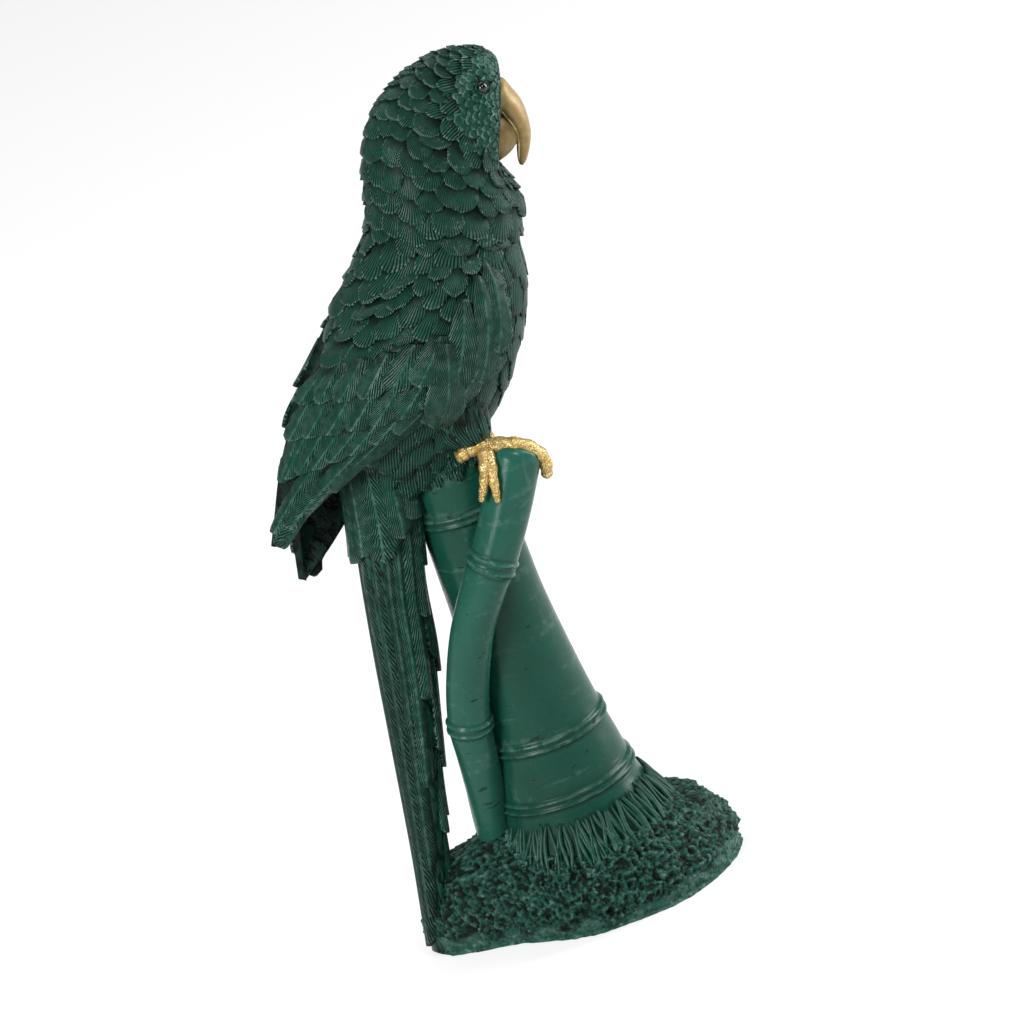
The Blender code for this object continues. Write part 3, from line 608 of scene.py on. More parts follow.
class Plate:
    """The pattern of one feather plate: a grid whose outer ring drops as the rim, closed below."""

    def __init__(self, columns: int, rows: int) -> None:
        """Makes the pattern.

        Args:
            columns: Faces across the upper side.
            rows: Faces along the upper side.
        """
        bm = bmesh.new()
        across, along = columns + 2, rows + 2
        bmesh.ops.create_grid(bm, x_segments=across, y_segments=along, size=1.0)
        border = [edge for edge in bm.edges if edge.is_boundary]
        bmesh.ops.holes_fill(bm, edges=border, sides=0)
        x = np.array([vert.co.x for vert in bm.verts])
        y = np.array([vert.co.y for vert in bm.verts])
        for vert in bm.verts:
            vert.co.z = 0.0 if max(abs(vert.co.x), abs(vert.co.y)) > 0.999 else 1.0
        bmesh.ops.recalc_face_normals(bm, faces=bm.faces)
        bm.verts.index_update()
        self.faces = [[vert.index for vert in face.verts] for face in bm.faces]
        bm.free()
        self.under = (np.maximum(abs(x), abs(y)) > 0.999).astype(float)
        self.u = np.clip(x / (1 - 2 / across), -1, 1)
        self.v = (np.clip(y / (1 - 2 / along), -1, 1) + 1) / 2
        brink = np.maximum(abs(self.u), abs(2 * self.v - 1)) > 0.999
        self.rim = brink.astype(float)
        keys = np.round(self.u * 1e3) * 1e5 + np.round(self.v * 1e3)
        self.pair = np.unique(keys, return_inverse=True)[1]


class Plumage:
    """Lays feathers on skins and gathers them."""

    def __init__(self, rng: np.random.Generator) -> None:
        """Starts with no feathers.

        Args:
            rng: Source of the small differences between feathers.
        """
        self.rng = rng
        self.plates: dict[tuple[int, int], Plate] = {}

    def lay(
        self,
        pile: Pile,
        skin: Skin,
        root: tuple[float, float],
        tip: tuple[float, float],
        width: float,
        style: PlumeStyle,
    ) -> None:
        """Adds one feather that follows a skin.

        Args:
            pile: Where it goes.
            skin: The surface below it.
            root: Station and place of its root.
            tip: Station and place of its tip.
            width: Its full width.
            style: Its proportions.
        """
        if style.grid not in self.plates:
            self.plates[style.grid] = Plate(*style.grid)
        plate = self.plates[style.grid]
        u, v = plate.u, plate.v
        length = abs(tip[0] - root[0]) * float(skin.run((root[0] + tip[0]) / 2, root[1]))
        bow = min(style.tip * width, 0.8 * length) / length
        rag = self.rng.normal(0, style.rag, (2, plate.pair.max() + 1))[:, plate.pair] * plate.rim
        v_bowed = v * (1 - bow * (1 - np.sqrt(1 - (0.985 * u) ** 2))) + rag[1] * v / length
        s = root[0] + (tip[0] - root[0]) * v_bowed
        middle = root[1] + (tip[1] - root[1]) * v_bowed
        spread = style.root + (1 - style.root) * np.sin(v * math.pi / 2)
        across = u * spread * width / 2 + rag[0] * (0.3 + v)
        t = middle + across / np.maximum(skin.girth(s, middle), 0.6 * width)
        tilt = self.rng.normal(0, 0.12) * style.lift
        height = style.lift * v**1.2 - style.camber * u**2 + tilt * u
        height += 0.18 * style.thickness * np.exp(-((across / 0.5) ** 2)) * (style.barbs is Barbs.VANE)
        height -= style.thickness * plate.under
        chance = self.rng.random()
        pile.add(
            skin.at(s, t, height),
            plate.faces if skin.outward * (tip[0] - root[0]) > 0 else [f[::-1] for f in plate.faces],
            np.stack([across, v_bowed * length, np.full_like(u, length)], axis=-1),
            np.stack([v, np.full_like(u, chance), np.full_like(u, style.barbs.value)], axis=-1),
            np.stack([plate.rim * (1 - plate.under), plate.under, abs(u)], axis=-1),
        )


def loft(pile: Pile, rings: Sequence[np.ndarray], edge: np.ndarray | None = None) -> None:
    """Adds a closed form through rings of points, with flat ends.

    Args:
        pile: Where it goes.
        rings: Rings of points, all of one length.
        edge: Masks per point, in ring order, or none.
    """
    bm = bmesh.new()
    sides = len(rings[0])
    bmesh.ops.create_grid(bm, x_segments=sides, y_segments=len(rings) - 1, size=1.0)
    points = np.vstack([np.vstack([ring, ring[:1]]) for ring in rings])
    order = sorted(bm.verts, key=lambda vert: (round(vert.co.y, 6), vert.co.x))
    for vert, point in zip(order, points):
        vert.co = point
    bmesh.ops.remove_doubles(bm, verts=bm.verts, dist=1e-5)
    open_edges = [item for item in bm.edges if item.is_boundary]
    bmesh.ops.holes_fill(bm, edges=open_edges, sides=0)
    if edge is not None:
        table = {tuple(np.round(p, 4)): mask for p, mask in zip(np.vstack(rings), edge)}
        edge = np.array([table.get(tuple(np.round(vert.co, 4)), (0.0, 0.0, 0.0)) for vert in bm.verts])
    pile.add_bmesh(bm, edge)


def sweep(
    pile: Pile, path: np.ndarray, radii: np.ndarray, sides: int, edge: np.ndarray | None = None
) -> None:
    """Adds a closed tube of round slices along a path.

    Args:
        pile: Where it goes.
        path: Points along the middle.
        radii: Radius at each point, or one per point and side.
        sides: Sides of a slice.
        edge: Masks per slice, or none.
    """
    tangents = np.gradient(path, axis=0)
    tangents /= np.linalg.norm(tangents, axis=1)[:, None]
    across = np.cross(tangents, (0.0, 1.0, 0.0))
    across /= np.maximum(np.linalg.norm(across, axis=1)[:, None], 1e-6)
    over = np.cross(tangents, across)
    turns = np.linspace(0.0, 2 * math.pi, sides, endpoint=False)[:, None]
    rings = []
    for point, radius, a, b in zip(path, radii, across, over):
        radius = np.broadcast_to(radius, sides)[:, None]
        rings.append(point + radius * (np.cos(turns) * a + np.sin(turns) * b))
    loft(pile, rings, None if edge is None else np.repeat(edge, sides, axis=0))


def far_wing_stations() -> tuple[tuple[float, ...], ...]:
    """Mirrors the near wing as far as the two match, and ends it with the far wing's own droop.

    Returns:
        The far wing's stations.
    """
    mirrored = []
    for row in NEAR_WING[: WINGS_MATCH + 1]:
        mirrored.append(tuple(-value if k % 3 == 1 else value for k, value in enumerate(row)))
    return tuple(mirrored) + FAR_WING_END


def loft_slices(
    pile: Pile, stations: Sequence[Sequence[float]], sides: int, steps: int, middle: float = 0.0
) -> None:
    """Adds a closed form through oval slices.

    Args:
        pile: Where it goes.
        stations: The slices.
        sides: Points round a slice.
        steps: Rings per station.
        middle: Y of the form's middle.
    """
    point = slice_skin(stations)
    turns = np.linspace(0.0, 2 * math.pi, sides, endpoint=False)
    last = len(stations) - 1
    places = np.linspace(0, last, last * steps + 1)
    offset = np.array((0.0, middle, 0.0))
    loft(pile, [point(np.full(sides, s), turns) + offset for s in places])


class Bird:
    """Builds the parrot's pieces."""

    def __init__(self, plumage: Plumage) -> None:
        """Keeps the feather layer.

        Args:
            plumage: Lays the feathers.
        """
        self.plumage = plumage
        self.rng = plumage.rng
        self.body_skin = Skin(slice_skin(BODY), 1)

    def core(self) -> Pile:
        """Builds the forms under the feathers: body, tail root and legs.

        Returns:
            The piece's forms.
        """
        pile = Pile()
        turns = np.linspace(0.0, 2 * math.pi, 96, endpoint=False)
        last = len(BODY) - 1
        places = np.linspace(0, last, 8 * last + 1)
        loft(pile, [self.body_skin.at(s, turns, -graph(CORE_SINK, s)) for s in places])
        loft_slices(pile, TAIL, 40, 8)
        for middle, leg in LEGS:
            loft_slices(pile, leg, 40, 8, middle)
        return pile

    def columns(
        self,
        pile: Pile,
        skin: Skin,
        turns: np.ndarray,
        span: Callable[[float], tuple[float, float]],
        length: Sequence[Sequence[float]],
        spread: Sequence[Sequence[float]],
        style: Callable[[float, float], PlumeStyle],
        least: float = 2.4,
    ) -> None:
        """Lays feathers in columns down a form, each column half a step past its neighbour.

        Args:
            pile: Where they go.
            skin: The form's surface.
            turns: The columns' places.
            span: First and last station of a column at a place.
            length: Feather length over station.
            spread: Feather width over the columns' spacing, over station.
            style: Feather proportions at a station and place.
            least: Least width of a feather.
        """
        gap = float(np.diff(turns).mean())
        for number, turn in enumerate(turns):
            start, end = span(float(turn))
            s = start + 0.02
            if number % 2:
                s += 0.5 * COLUMN_PITCH * float(graph(length, s)) / max(float(skin.run(s, turn)), 1.2)
            while s < end:
                run = max(float(skin.run(s, turn)), 1.2)
                size = float(graph(length, s)) * self.rng.uniform(*SIZE_JITTER)
                width = float(graph(spread, s)) * gap * float(skin.girth(s, turn))
                root = (s, turn + self.rng.normal(0, ROOT_JITTER) * gap)
                tip = (min(s + size / run, end + 0.9), turn + self.rng.normal(0, TIP_JITTER) * gap)
                if not self.near_eye((root[0] + tip[0]) / 2, turn, run, skin):
                    self.plumage.lay(pile, skin, root, tip, max(width, least), style(s, turn))
                s += COLUMN_PITCH * size / run

    def near_eye(self, s: float, turn: float, run: float, skin: Skin) -> bool:
        """Tells whether a feather would cover an eye.

        Args:
            s: Its middle's station.
            turn: Its turn.
            run: Length of one unit of s there.
            skin: The surface that it is laid on.

        Returns:
            Whether its middle is near an eye of the head.
        """
        if skin is not self.body_skin:
            return False
        aside = (abs(turn) - math.radians(EYE_TURN)) * float(skin.girth(s, turn))
        return math.hypot((s - EYE_STATION) * run, aside) < EYE_CLEARANCE

    def body_feathers(self) -> tuple[Pile, Pile]:
        """Lays the scales of the head and neck and the softer feathers of breast, belly and rump.

        Returns:
            The head's and neck's forms, and the body's.
        """
        skin = self.body_skin
        turns = np.linspace(-math.pi, math.pi, BODY_COLUMNS, endpoint=False)
        fine_turns = np.linspace(-math.pi, math.pi, FACE_COLUMNS, endpoint=False)

        def face(turn: float) -> float:
            """Finds the station where the face ends at a turn."""
            return float(graph(FACE_EDGE, abs(math.degrees(turn))))

        def face_span(turn: float) -> tuple[float, float]:
            """Finds the first and last station of the face's column at a turn."""
            return FACE_START, face(turn) + 0.35

        def head_style(s: float, turn: float) -> PlumeStyle:
            """Chooses fine feathers next to the face and scales behind them."""
            return CROWN if s < face(turn) + 0.7 else SCALE

        def body_style(s: float, turn: float) -> PlumeStyle:
            """Chooses scales on the upper back and soft feathers elsewhere."""
            return SCALE if s < SCALES_END and abs(turn) > 0.8 else BREAST

        head, body = Pile(), Pile()
        face_look = (FACE_LENGTH, FACE_SPREAD, lambda s, t: DOWN, FACE_LEAST)
        sizes = (BODY_LENGTH, BODY_SPREAD)
        self.columns(head, skin, fine_turns, face_span, *face_look)
        self.columns(head, skin, turns, lambda t: (face(t), HEAD_END), *sizes, head_style)
        self.columns(body, skin, turns, lambda t: (BODY_START, BODY_END), *sizes, body_style)
        return head, body

    def wing(self, side: Side) -> Pile:
        """Builds one folded wing: its body, scales, two rows of coverts and the long feathers.

        Args:
            side: Which wing.

        Returns:
            The piece's forms.
        """
        stations = NEAR_WING if side is Side.NEAR else far_wing_stations()
        last = len(stations) - 1.0
        skin = Skin(flank_skin(stations), side.value)
        pile = Pile()
        across = np.linspace(0.0, 1.0, 17)
        rings = []
        for s in np.linspace(0, last, 60):
            thickness = float(np.interp(s, range(len(WING_THICKNESS)), WING_THICKNESS))
            outer = skin.at(s, across, 0.0)
            rings.append(np.vstack([outer, skin.at(s, across[::-1], -thickness)]))
        loft(pile, rings)
        self.wing_quills(pile, skin, last)
        places = np.linspace(0.09, 0.97, WING_SCALE_COLUMNS)
        end, taper = WING_SCALES_END
        look = (WING_SCALE_LENGTH, WING_SCALE_SPREAD, lambda s, t: SCALE)
        self.columns(pile, skin, places, lambda t: (0.0, end - taper * t), *look)
        return pile

    def wing_quills(self, pile: Pile, skin: Skin, last: float) -> None:
        """Lays the wing's rows of long feathers, the lowest row first.

        Args:
            pile: Where they go.
            skin: The wing's surface.
            last: Station of the wing's tip.
        """
        for tips, length, width, style, stand in WING_ROWS:
            for number, (place, tip) in enumerate(tips):
                tip = min(tip, last - 0.05)
                start = tip
                walked = 0.0
                while walked < length and start > 0.1:
                    start -= 0.1
                    walked += 0.1 * float(skin.run(start, place))
                place = max(place, 0.47 * width / float(skin.girth(tip, place)))
                high = (stand + 0.12 * (number % 2)) * min(1.0, 0.1 + place / 0.35)
                raised = Skin(lambda s, t, k=high: skin.at(s, t, k), skin.outward)
                lean = self.rng.normal(0, 0.006)
                self.plumage.lay(pile, raised, (start, place - lean), (tip, place + lean), width, style)
        styles = (SLEEK, SLEEK, SLEEK, BIG_COVERT)
        for (start, root, tip, end, width), high, style in zip(LEADING_FEATHERS, LEADING_STAND, styles):
            raised = Skin(lambda s, t, k=high: skin.at(s, t, k), skin.outward)
            self.plumage.lay(pile, raised, (start, root), (tip, end), width, style)

    def tail(self) -> Pile:
        """Lays the long tail feathers, the middle ones longest, and short coverts over their roots.

        Returns:
            The piece's forms.
        """
        pile = Pile()
        skin = Skin(slice_skin(TAIL), 1)
        for side in Side:
            for rank, (degrees, tip) in enumerate(TAIL_FEATHERS):
                if degrees == 180.0 and side is Side.FAR:
                    continue
                turn = -side.value * math.radians(degrees)
                width = float(graph(TAIL_WIDTH, tip))
                raised = Skin(lambda s, t, k=0.14 * rank: skin.at(s, t, k), 1)
                self.plumage.lay(pile, raised, (0.1, turn), (tip, turn), width, TAIL_QUILL)
            for degrees, tip in TAIL_COVERTS:
                turn = -side.value * math.radians(degrees)
                raised = Skin(lambda s, t: skin.at(s, t, 0.8), 1)
                self.plumage.lay(pile, raised, (0.0, turn), (tip, turn), TAIL_COVERT_WIDTH, COVERT)
        for root, tip in reversed(TAIL_FRONT):
            for degrees in (-24.0, 24.0, 0.0):
                turn = math.radians(degrees + self.rng.uniform(-3.0, 3.0))
                end = tip + self.rng.uniform(-0.25, 0.25)
                width = float(graph(TAIL_FRONT_WIDTH, tip))
                self.plumage.lay(pile, skin, (root, turn), (end, turn), width, QUILL)
        return pile

    def fringe(self) -> Pile:
        """Lays the fine feathers of the thighs and the vent, which end in points over the stem's top.

        Returns:
            The piece's forms.
        """
        pile = Pile()
        for middle, leg in LEGS:
            offset = np.array((0.0, middle, 0.0))
            flat = slice_skin(leg)
            skin = Skin(lambda s, t: flat(s, t) + offset, 1)
            turns = np.linspace(-math.pi, math.pi, THIGH_COLUMNS, endpoint=False)
            look = (THIGH_LENGTH, THIGH_SPREAD, lambda s, t: STRAND, 1.8)
            self.columns(pile, skin, turns, lambda t: (0.1, 2.3), *look)
        skin = Skin(pipe_skin(FRINGE_MIDDLE, FRINGE_RADIUS, FRINGE_FOOT), 1)
        for row, (top, foot) in enumerate(FRINGE_ROWS):
            for turn in np.linspace(0, 2 * math.pi, FRINGE_COLUMNS, endpoint=False) + 0.1 * row:
                end = 1 - (foot + self.rng.uniform(-2.0, 1.5)) / 10
                root = (1 - top / 10, turn + self.rng.normal(0, 0.02))
                tip = (end, turn + self.rng.normal(0, 0.08))
                self.plumage.lay(pile, skin, root, tip, FRINGE_WIDTH, STRAND)
        return pile

    def beak(self) -> Pile:
        """Builds the hooked beak, open a little at its tip.

        Returns:
            The piece's forms.
        """
        pile = Pile()
        upper = slice_skin(UPPER_BEAK)
        turns = np.linspace(-math.pi, math.pi, BEAK_SIDES, endpoint=False)
        stations = np.linspace(0, len(UPPER_BEAK) - 1, 81)
        # Painted shade on the upper beak's underside, past its second station.
        underside = np.clip(1.25 - abs(turns) / 0.55, 0.0, 0.9)
        hollow = underside[None, :] * np.clip(stations - 2.0, 0.0, 1.0)[:, None]
        masks = np.stack([0 * hollow, 0 * hollow, hollow], axis=-1).reshape(-1, 3)
        loft(pile, [upper(np.full(BEAK_SIDES, s), turns) for s in stations], masks)
        loft_slices(pile, LOWER_BEAK, 40, 10)
        stations = np.linspace(0.55, LIP_RADIUS[-1][0], LIP_POINTS)
        # Painted highlight along the lip of the cutting edge.
        lip_highlight = np.tile((1.0, 0.0, 0.0), (LIP_POINTS, 1))
        for side in Side:
            turns = -side.value * np.radians(graph(LIP_TURN, stations))
            sweep(pile, upper(stations, turns), graph(LIP_RADIUS, stations), 10, lip_highlight)
        return pile

    def eyes(self) -> tuple[Pile, Pile]:
        """Builds the two eyeballs and the lids round them.

        Returns:
            The eyes' forms and the lids'.
        """
        balls, lids = Pile(), Pile()
        skin = self.body_skin
        for side in Side:
            turn = -side.value * math.radians(EYE_TURN)
            eye = Vector(skin.at(EYE_STATION, turn, EYE_STAND))
            facing = (Vector(skin.at(EYE_STATION, turn, EYE_STAND + 1.0)) - eye).normalized()
            place = Matrix.Translation(eye) @ facing.to_track_quat("Z", "Y").to_matrix().to_4x4()
            bm = bmesh.new()
            bmesh.ops.create_uvsphere(bm, u_segments=36, v_segments=20, radius=EYE_RADIUS, matrix=place)
            balls.add_bmesh(bm)
            bm = bmesh.new()
            made = bmesh.ops.create_circle(bm, segments=12, radius=LID_THICKNESS)["verts"]
            bmesh.ops.rotate(bm, verts=made, cent=(0, 0, 0), matrix=Matrix.Rotation(math.pi / 2, 3, "X"))
            bmesh.ops.translate(bm, verts=made, vec=(LID_RADIUS, 0, -0.15))
            bmesh.ops.spin(
                bm,
                geom=made + list(bm.edges),
                cent=(0, 0, 0),
                axis=(0, 0, 1),
                angle=2 * math.pi,
                steps=48,
                use_merge=True,
            )
            bmesh.ops.transform(bm, matrix=place, verts=bm.verts)
            lids.add_bmesh(bm)
        return balls, lids

    def foot(self, toes: Sequence[tuple]) -> Pile:
        """Builds one foot of gripping toes, rough all over.

        Args:
            toes: Points along each toe and its radii.

        Returns:
            The piece's forms.
        """
        pile = Pile()
        order = np.arange(TOE_RINGS)
        sides = [Vector((7 * k / TOE_SIDES, 0, 0)) for k in range(TOE_SIDES)]
        for points, thick, thin in toes:
            path = read_curve(points, np.linspace(0, len(points) - 1, TOE_RINGS))
            knuckles = 1 + 0.09 * np.cos(np.linspace(0, 2 * math.pi * (len(points) + 1), TOE_RINGS))
            base = np.linspace(thick, thin, TOE_RINGS) * knuckles
            base *= np.sqrt(np.clip(np.minimum(order + 1, TOE_RINGS - order) / 4.0, 0, 1))
            rough = [[1 + 0.07 * noise.noise(Vector(p / 1.1) + side) for side in sides] for p in path]
            sweep(pile, path, base[:, None] * np.array(rough), TOE_SIDES)
        return pile


def ring_swell(z: np.ndarray, rings: Sequence[float], stand: float) -> np.ndarray:
    """Finds how far a stem stands out near its rings, which have a groove between two lips.

    Args:
        z: Heights.
        rings: Heights of the rings.
        stand: How far a lip stands out.

    Returns:
        The extra radius at each height.
    """
    swell = np.zeros_like(z)
    for ring in rings:
        d = abs(z - ring) / RING_HALF_HEIGHT
        lips = np.exp(-(((d - RING_LIP_PLACE) / RING_LIP_WIDTH) ** 2))
        swell = np.maximum(swell, stand * (0.7 * lips + 0.4 * np.exp(-d * d)))
    return swell


def bamboo_masks(z: np.ndarray, rings: Sequence[float]) -> np.ndarray:
    """Finds where a ring's lips get painted highlight and where its groove gets painted shade.

    Args:
        z: Heights.
        rings: Heights of the rings.

    Returns:
        Rim, under and hollow masks per height.
    """
    rim, hollow = np.zeros_like(z), np.zeros_like(z)
    for ring in rings:
        d = abs(z - ring) / RING_HALF_HEIGHT
        rim = np.maximum(rim, np.exp(-(((d - RING_LIP_PLACE) / 0.14) ** 2)))
        hollow = np.maximum(hollow, 0.7 * np.exp(-((d / 0.2) ** 2)))
        hollow = np.maximum(hollow, 0.7 * np.exp(-(((d - 1.15) / 0.16) ** 2)))
    return np.stack([rim, np.zeros_like(z), hollow], axis=-1)


class Perch:
    """Builds what the bird stands on: two bamboo stems, the root fringe and the rock."""

    def __init__(self, rng: np.random.Generator) -> None:
        """Keeps the source of chance.

        Args:
            rng: Source of the differences between roots.
        """
        self.rng = rng

    def stem(self) -> Pile:
        """Builds the thick stem, which flares into the rock.

        Returns:
            The piece's forms.
        """
        heights = np.arange(STEM_RADII[0][0], STEM_RADII[-1][0] + 0.1, 0.4)
        smooth = np.array([np.mean(graph(STEM_RADII, np.linspace(z - 4, z + 4, 9))) for z in heights])
        path = np.stack([graph(STEM_LEAN, heights), np.full_like(heights, STEM_Y), heights], axis=-1)
        pile = Pile()
        radii = smooth + ring_swell(heights, STEM_RINGS, RING_STAND)
        masks = bamboo_masks(heights, STEM_RINGS)
        # Painted shade on the stem below the roots' top.
        masks[:, 2] = np.maximum(masks[:, 2], np.clip((ROOT_TOP[1] + 0.5 - heights) / 2, 0.0, 1.1))
        sweep(pile, path, radii, 96, masks)
        return pile

    def stalk(self) -> Pile:
        """Builds the thin stalk that bends across the stem and ends under the near foot.

        Returns:
            The piece's forms.
        """
        path = read_curve(STALK_PATH, np.linspace(0, len(STALK_PATH) - 1, 420))
        heights = path[:, 2]
        radii = graph(STALK_RADII, heights) + ring_swell(heights, STALK_RINGS, 0.7 * RING_STAND)
        radii[-4:] -= np.array((0.05, 0.2, 0.5, 1.0))
        pile = Pile()
        sweep(pile, path, radii, 56, bamboo_masks(heights, STALK_RINGS))
        return pile

    def roots(self) -> Pile:
        """Builds the fringe of thin roots round the thick stem's foot.

        Returns:
            The piece's forms.
        """
        pile = Pile()
        middle = np.array((STEM_LEAN[0][1], STEM_Y))
        for number in range(2 * ROOT_COUNT):
            low = number % 2
            turn = (number + self.rng.uniform(-0.35, 0.35)) * math.pi / ROOT_COUNT
            long = self.rng.uniform(0.78, 1.12)
            share = np.linspace(0, 1, len(ROOT_RADII))
            far = ROOT_TOP[0] - 0.1 * low + (ROOT_FOOT[0] - ROOT_TOP[0]) * share**1.1 * long
            swing = turn + self.rng.normal(0, 0.05) * share + 0.02 * np.sin(6 * share + number)
            start = ROOT_TOP[1] - 1.6 * low + self.rng.uniform(-0.8, 1.2)
            height = start + (ROOT_FOOT[1] - ROOT_TOP[1]) * share * long - 0.9 * share**3
            x, y = middle[0] + far * np.cos(swing), middle[1] + far * np.sin(swing)
            radii = np.array(ROOT_RADII) * self.rng.uniform(0.75, 1.2)
            # Painted lighter towards the foot; painted shade at the top, where the roots meet the stem.
            edge = np.stack([share * 0.9, 0 * share, 0.4 * (1 - share)], axis=-1)
            sweep(pile, np.stack([x, y, height], axis=-1), radii, ROOT_SIDES, edge)
        return pile

    def rock(self) -> Pile:
        """Builds the rough rock with its smooth rim and flat underside.

        Returns:
            The piece's forms.
        """
        places = np.linspace(0, len(ROCK_OUTLINE), ROCK_GRID[0], endpoint=False)
        outline = read_curve(ROCK_OUTLINE + ROCK_OUTLINE[:1], places)
        profile = read_curve(ROCK_PROFILE, np.linspace(0, len(ROCK_PROFILE) - 1, ROCK_GRID[1]))
        centre = np.array(ROCK_CENTRE)
        rings, masks = [], []
        for share, height in profile:
            flat = centre + (outline - centre) * share
            ring = []
            for x, y in flat:
                rise = 1 + ROCK_TAIL_RISE * min(1.0, max(0.0, -x / 40.0)) * min(1.0, max(height, 0) / 20.0)
                spot = Vector((x, y, height * rise))
                rough = min(1.0, max(0.0, (height - 4.0 + 4.0 * noise.noise(spot / 7.0)) / 1.4))
                lump = 1.5 * noise.fractal(spot / 7.0, 0.8, 2.1, 3)
                grit = 0.85 * noise.fractal(spot / 1.3, 0.7, 2.1, 4)
                pit = max(0.0, 0.32 - noise.voronoi(spot / 4.8)[0][0]) * 3.4
                away = Vector((x - centre[0], y - centre[1], 12.0 * min(1.0, height / 4.0))).normalized()
                chip = 1.1 * abs(noise.noise(spot / 5.5)) + 0.35 * noise.noise(spot / 1.8)
                shift = (lump + grit - pit) * rough - chip * (1 - rough)
                moved = spot + away * shift
                ring.append((moved.x, moved.y, max(moved.z, 0.0)))
                # Painted shade in the pits and between the grit; lighter on raised grit (painted highlight,
                # partly dry-brush paint) and on the smooth lower rim.
                hollow = min(1.0, max(0.0, 0.42 - 1.9 * (grit - pit))) * rough
                masks.append((min(1.0, max(0.0, 1.9 * (grit - 0.12))) + 0.4 * (1 - rough), 0.0, hollow))
            rings.append(np.array(ring))
        pile = Pile()
        loft(pile, rings, np.array(masks))
        return pile


class Sheet:
    """Short ways to add nodes to one tree."""

    def __init__(self, tree: bpy.types.NodeTree) -> None:
        """Keeps the tree.

        Args:
            tree: Where the nodes go.
        """
        self.tree = tree

    def join(self, value: object, socket: Socket) -> None:
        """Links a socket to another, or sets a plain value on it.

        Args:
            value: Socket or value.
            socket: The input that takes it.
        """
        if isinstance(value, Socket):
            self.tree.links.new(value, socket)
        else:
            socket.default_value = value

    def add(self, kind: str, inputs: dict | None = None, **settings: object) -> bpy.types.Node:
        """Adds a node.

        Args:
            kind: Its type, without the ShaderNode part.
            inputs: Values or sockets per input name or number.
            **settings: Its properties.

        Returns:
            The node.
        """
        node = self.tree.nodes.new("ShaderNode" + kind)
        for key, value in settings.items():
            setattr(node, key, value)
        for key, value in (inputs or {}).items():
            self.join(value, node.inputs[key])
        return node

    def math(self, operation: str, *values: object) -> Socket:
        """Adds a sum on numbers.

        Args:
            operation: Name of the sum.
            *values: Numbers or sockets.

        Returns:
            The result.
        """
        return self.add("Math", dict(enumerate(values)), operation=operation).outputs[0]

    def plus(self, first: object, second: object) -> Socket:
        """Adds two numbers."""
        return self.math("ADD", first, second)

    def minus(self, first: object, second: object) -> Socket:
        """Takes the second number from the first."""
        return self.math("SUBTRACT", first, second)

    def times(self, first: object, second: object) -> Socket:
        """Multiplies two numbers."""
        return self.math("MULTIPLY", first, second)

    def line(self, value: object, slope: object, start: object) -> Socket:
        """Multiplies a number by a slope and adds a start."""
        return self.math("MULTIPLY_ADD", value, slope, start)

    def most(self, first: object, second: object) -> Socket:
        """Takes the larger of two numbers."""
        return self.math("MAXIMUM", first, second)

    def least(self, first: object, second: object) -> Socket:
        """Takes the smaller of two numbers."""
        return self.math("MINIMUM", first, second)

    def is_kind(self, value: object, barbs: Barbs) -> Socket:
        """Gives 1 on feathers whose grooves are of one kind, else 0."""
        return self.math("COMPARE", value, barbs.value, 0.1)

    def place(self) -> Socket:
        """Reads the place on the object."""
        return self.add("TexCoord").outputs["Object"]

    def attribute(self, name: str) -> Socket:
        """Reads one of the piece's own attributes."""
        return self.add("Attribute", attribute_name=name).outputs["Vector"]

    def parts(self, vector: object) -> Sequence[Socket]:
        """Splits a vector into its three numbers."""
        return self.add("SeparateXYZ", {0: vector}).outputs

    def blend(self, share: object, first: object, second: object) -> Socket:
        """Adds a mix of two colours.

        Args:
            share: Share of the second.
            first: Colour or socket.
            second: Colour or socket.

        Returns:
            The mixed colour.
        """
        node = self.add("Mix", data_type="RGBA")
        for number, value in ((0, share), (6, first), (7, second)):
            self.join(value, node.inputs[number])
        return node.outputs[2]

    def choose(self, share: object, first: object, second: object) -> Socket:
        """Mixes two numbers."""
        return self.add("Mix", {0: share, 2: first, 3: second}).outputs[0]

    def ramp(self, value: object, low: float, high: float) -> Socket:
        """Adds a smooth step from 0 at low to 1 at high.

        Args:
            value: Number or socket.
            low: Where it starts.
            high: Where it ends.

        Returns:
            The step.
        """
        node = self.add("MapRange", {0: value, 1: low, 2: high}, interpolation_type="SMOOTHSTEP")
        return node.outputs[0]

    def noise(
        self, vector: object, scale: float, detail: float = 3.0, stretch: Sequence[float] | None = None
    ) -> Socket:
        """Adds a noise pattern.

        Args:
            vector: Coordinates.
            scale: Its scale.
            detail: Its detail.
            stretch: Scale per axis, or none.

        Returns:
            The pattern, around 0.5.
        """
        if stretch is not None:
            vector = self.add("Mapping", {"Vector": vector, "Scale": stretch}).outputs[0]
        return self.add("TexNoise", {"Vector": vector, "Scale": scale, "Detail": detail}).outputs[0]


def colour(values: Sequence[float]) -> tuple[float, float, float, float]:
    """Adds full opacity to a colour.

    Args:
        values: Red, green and blue.

    Returns:
        The colour with alpha.
    """
    return (*values, 1.0)


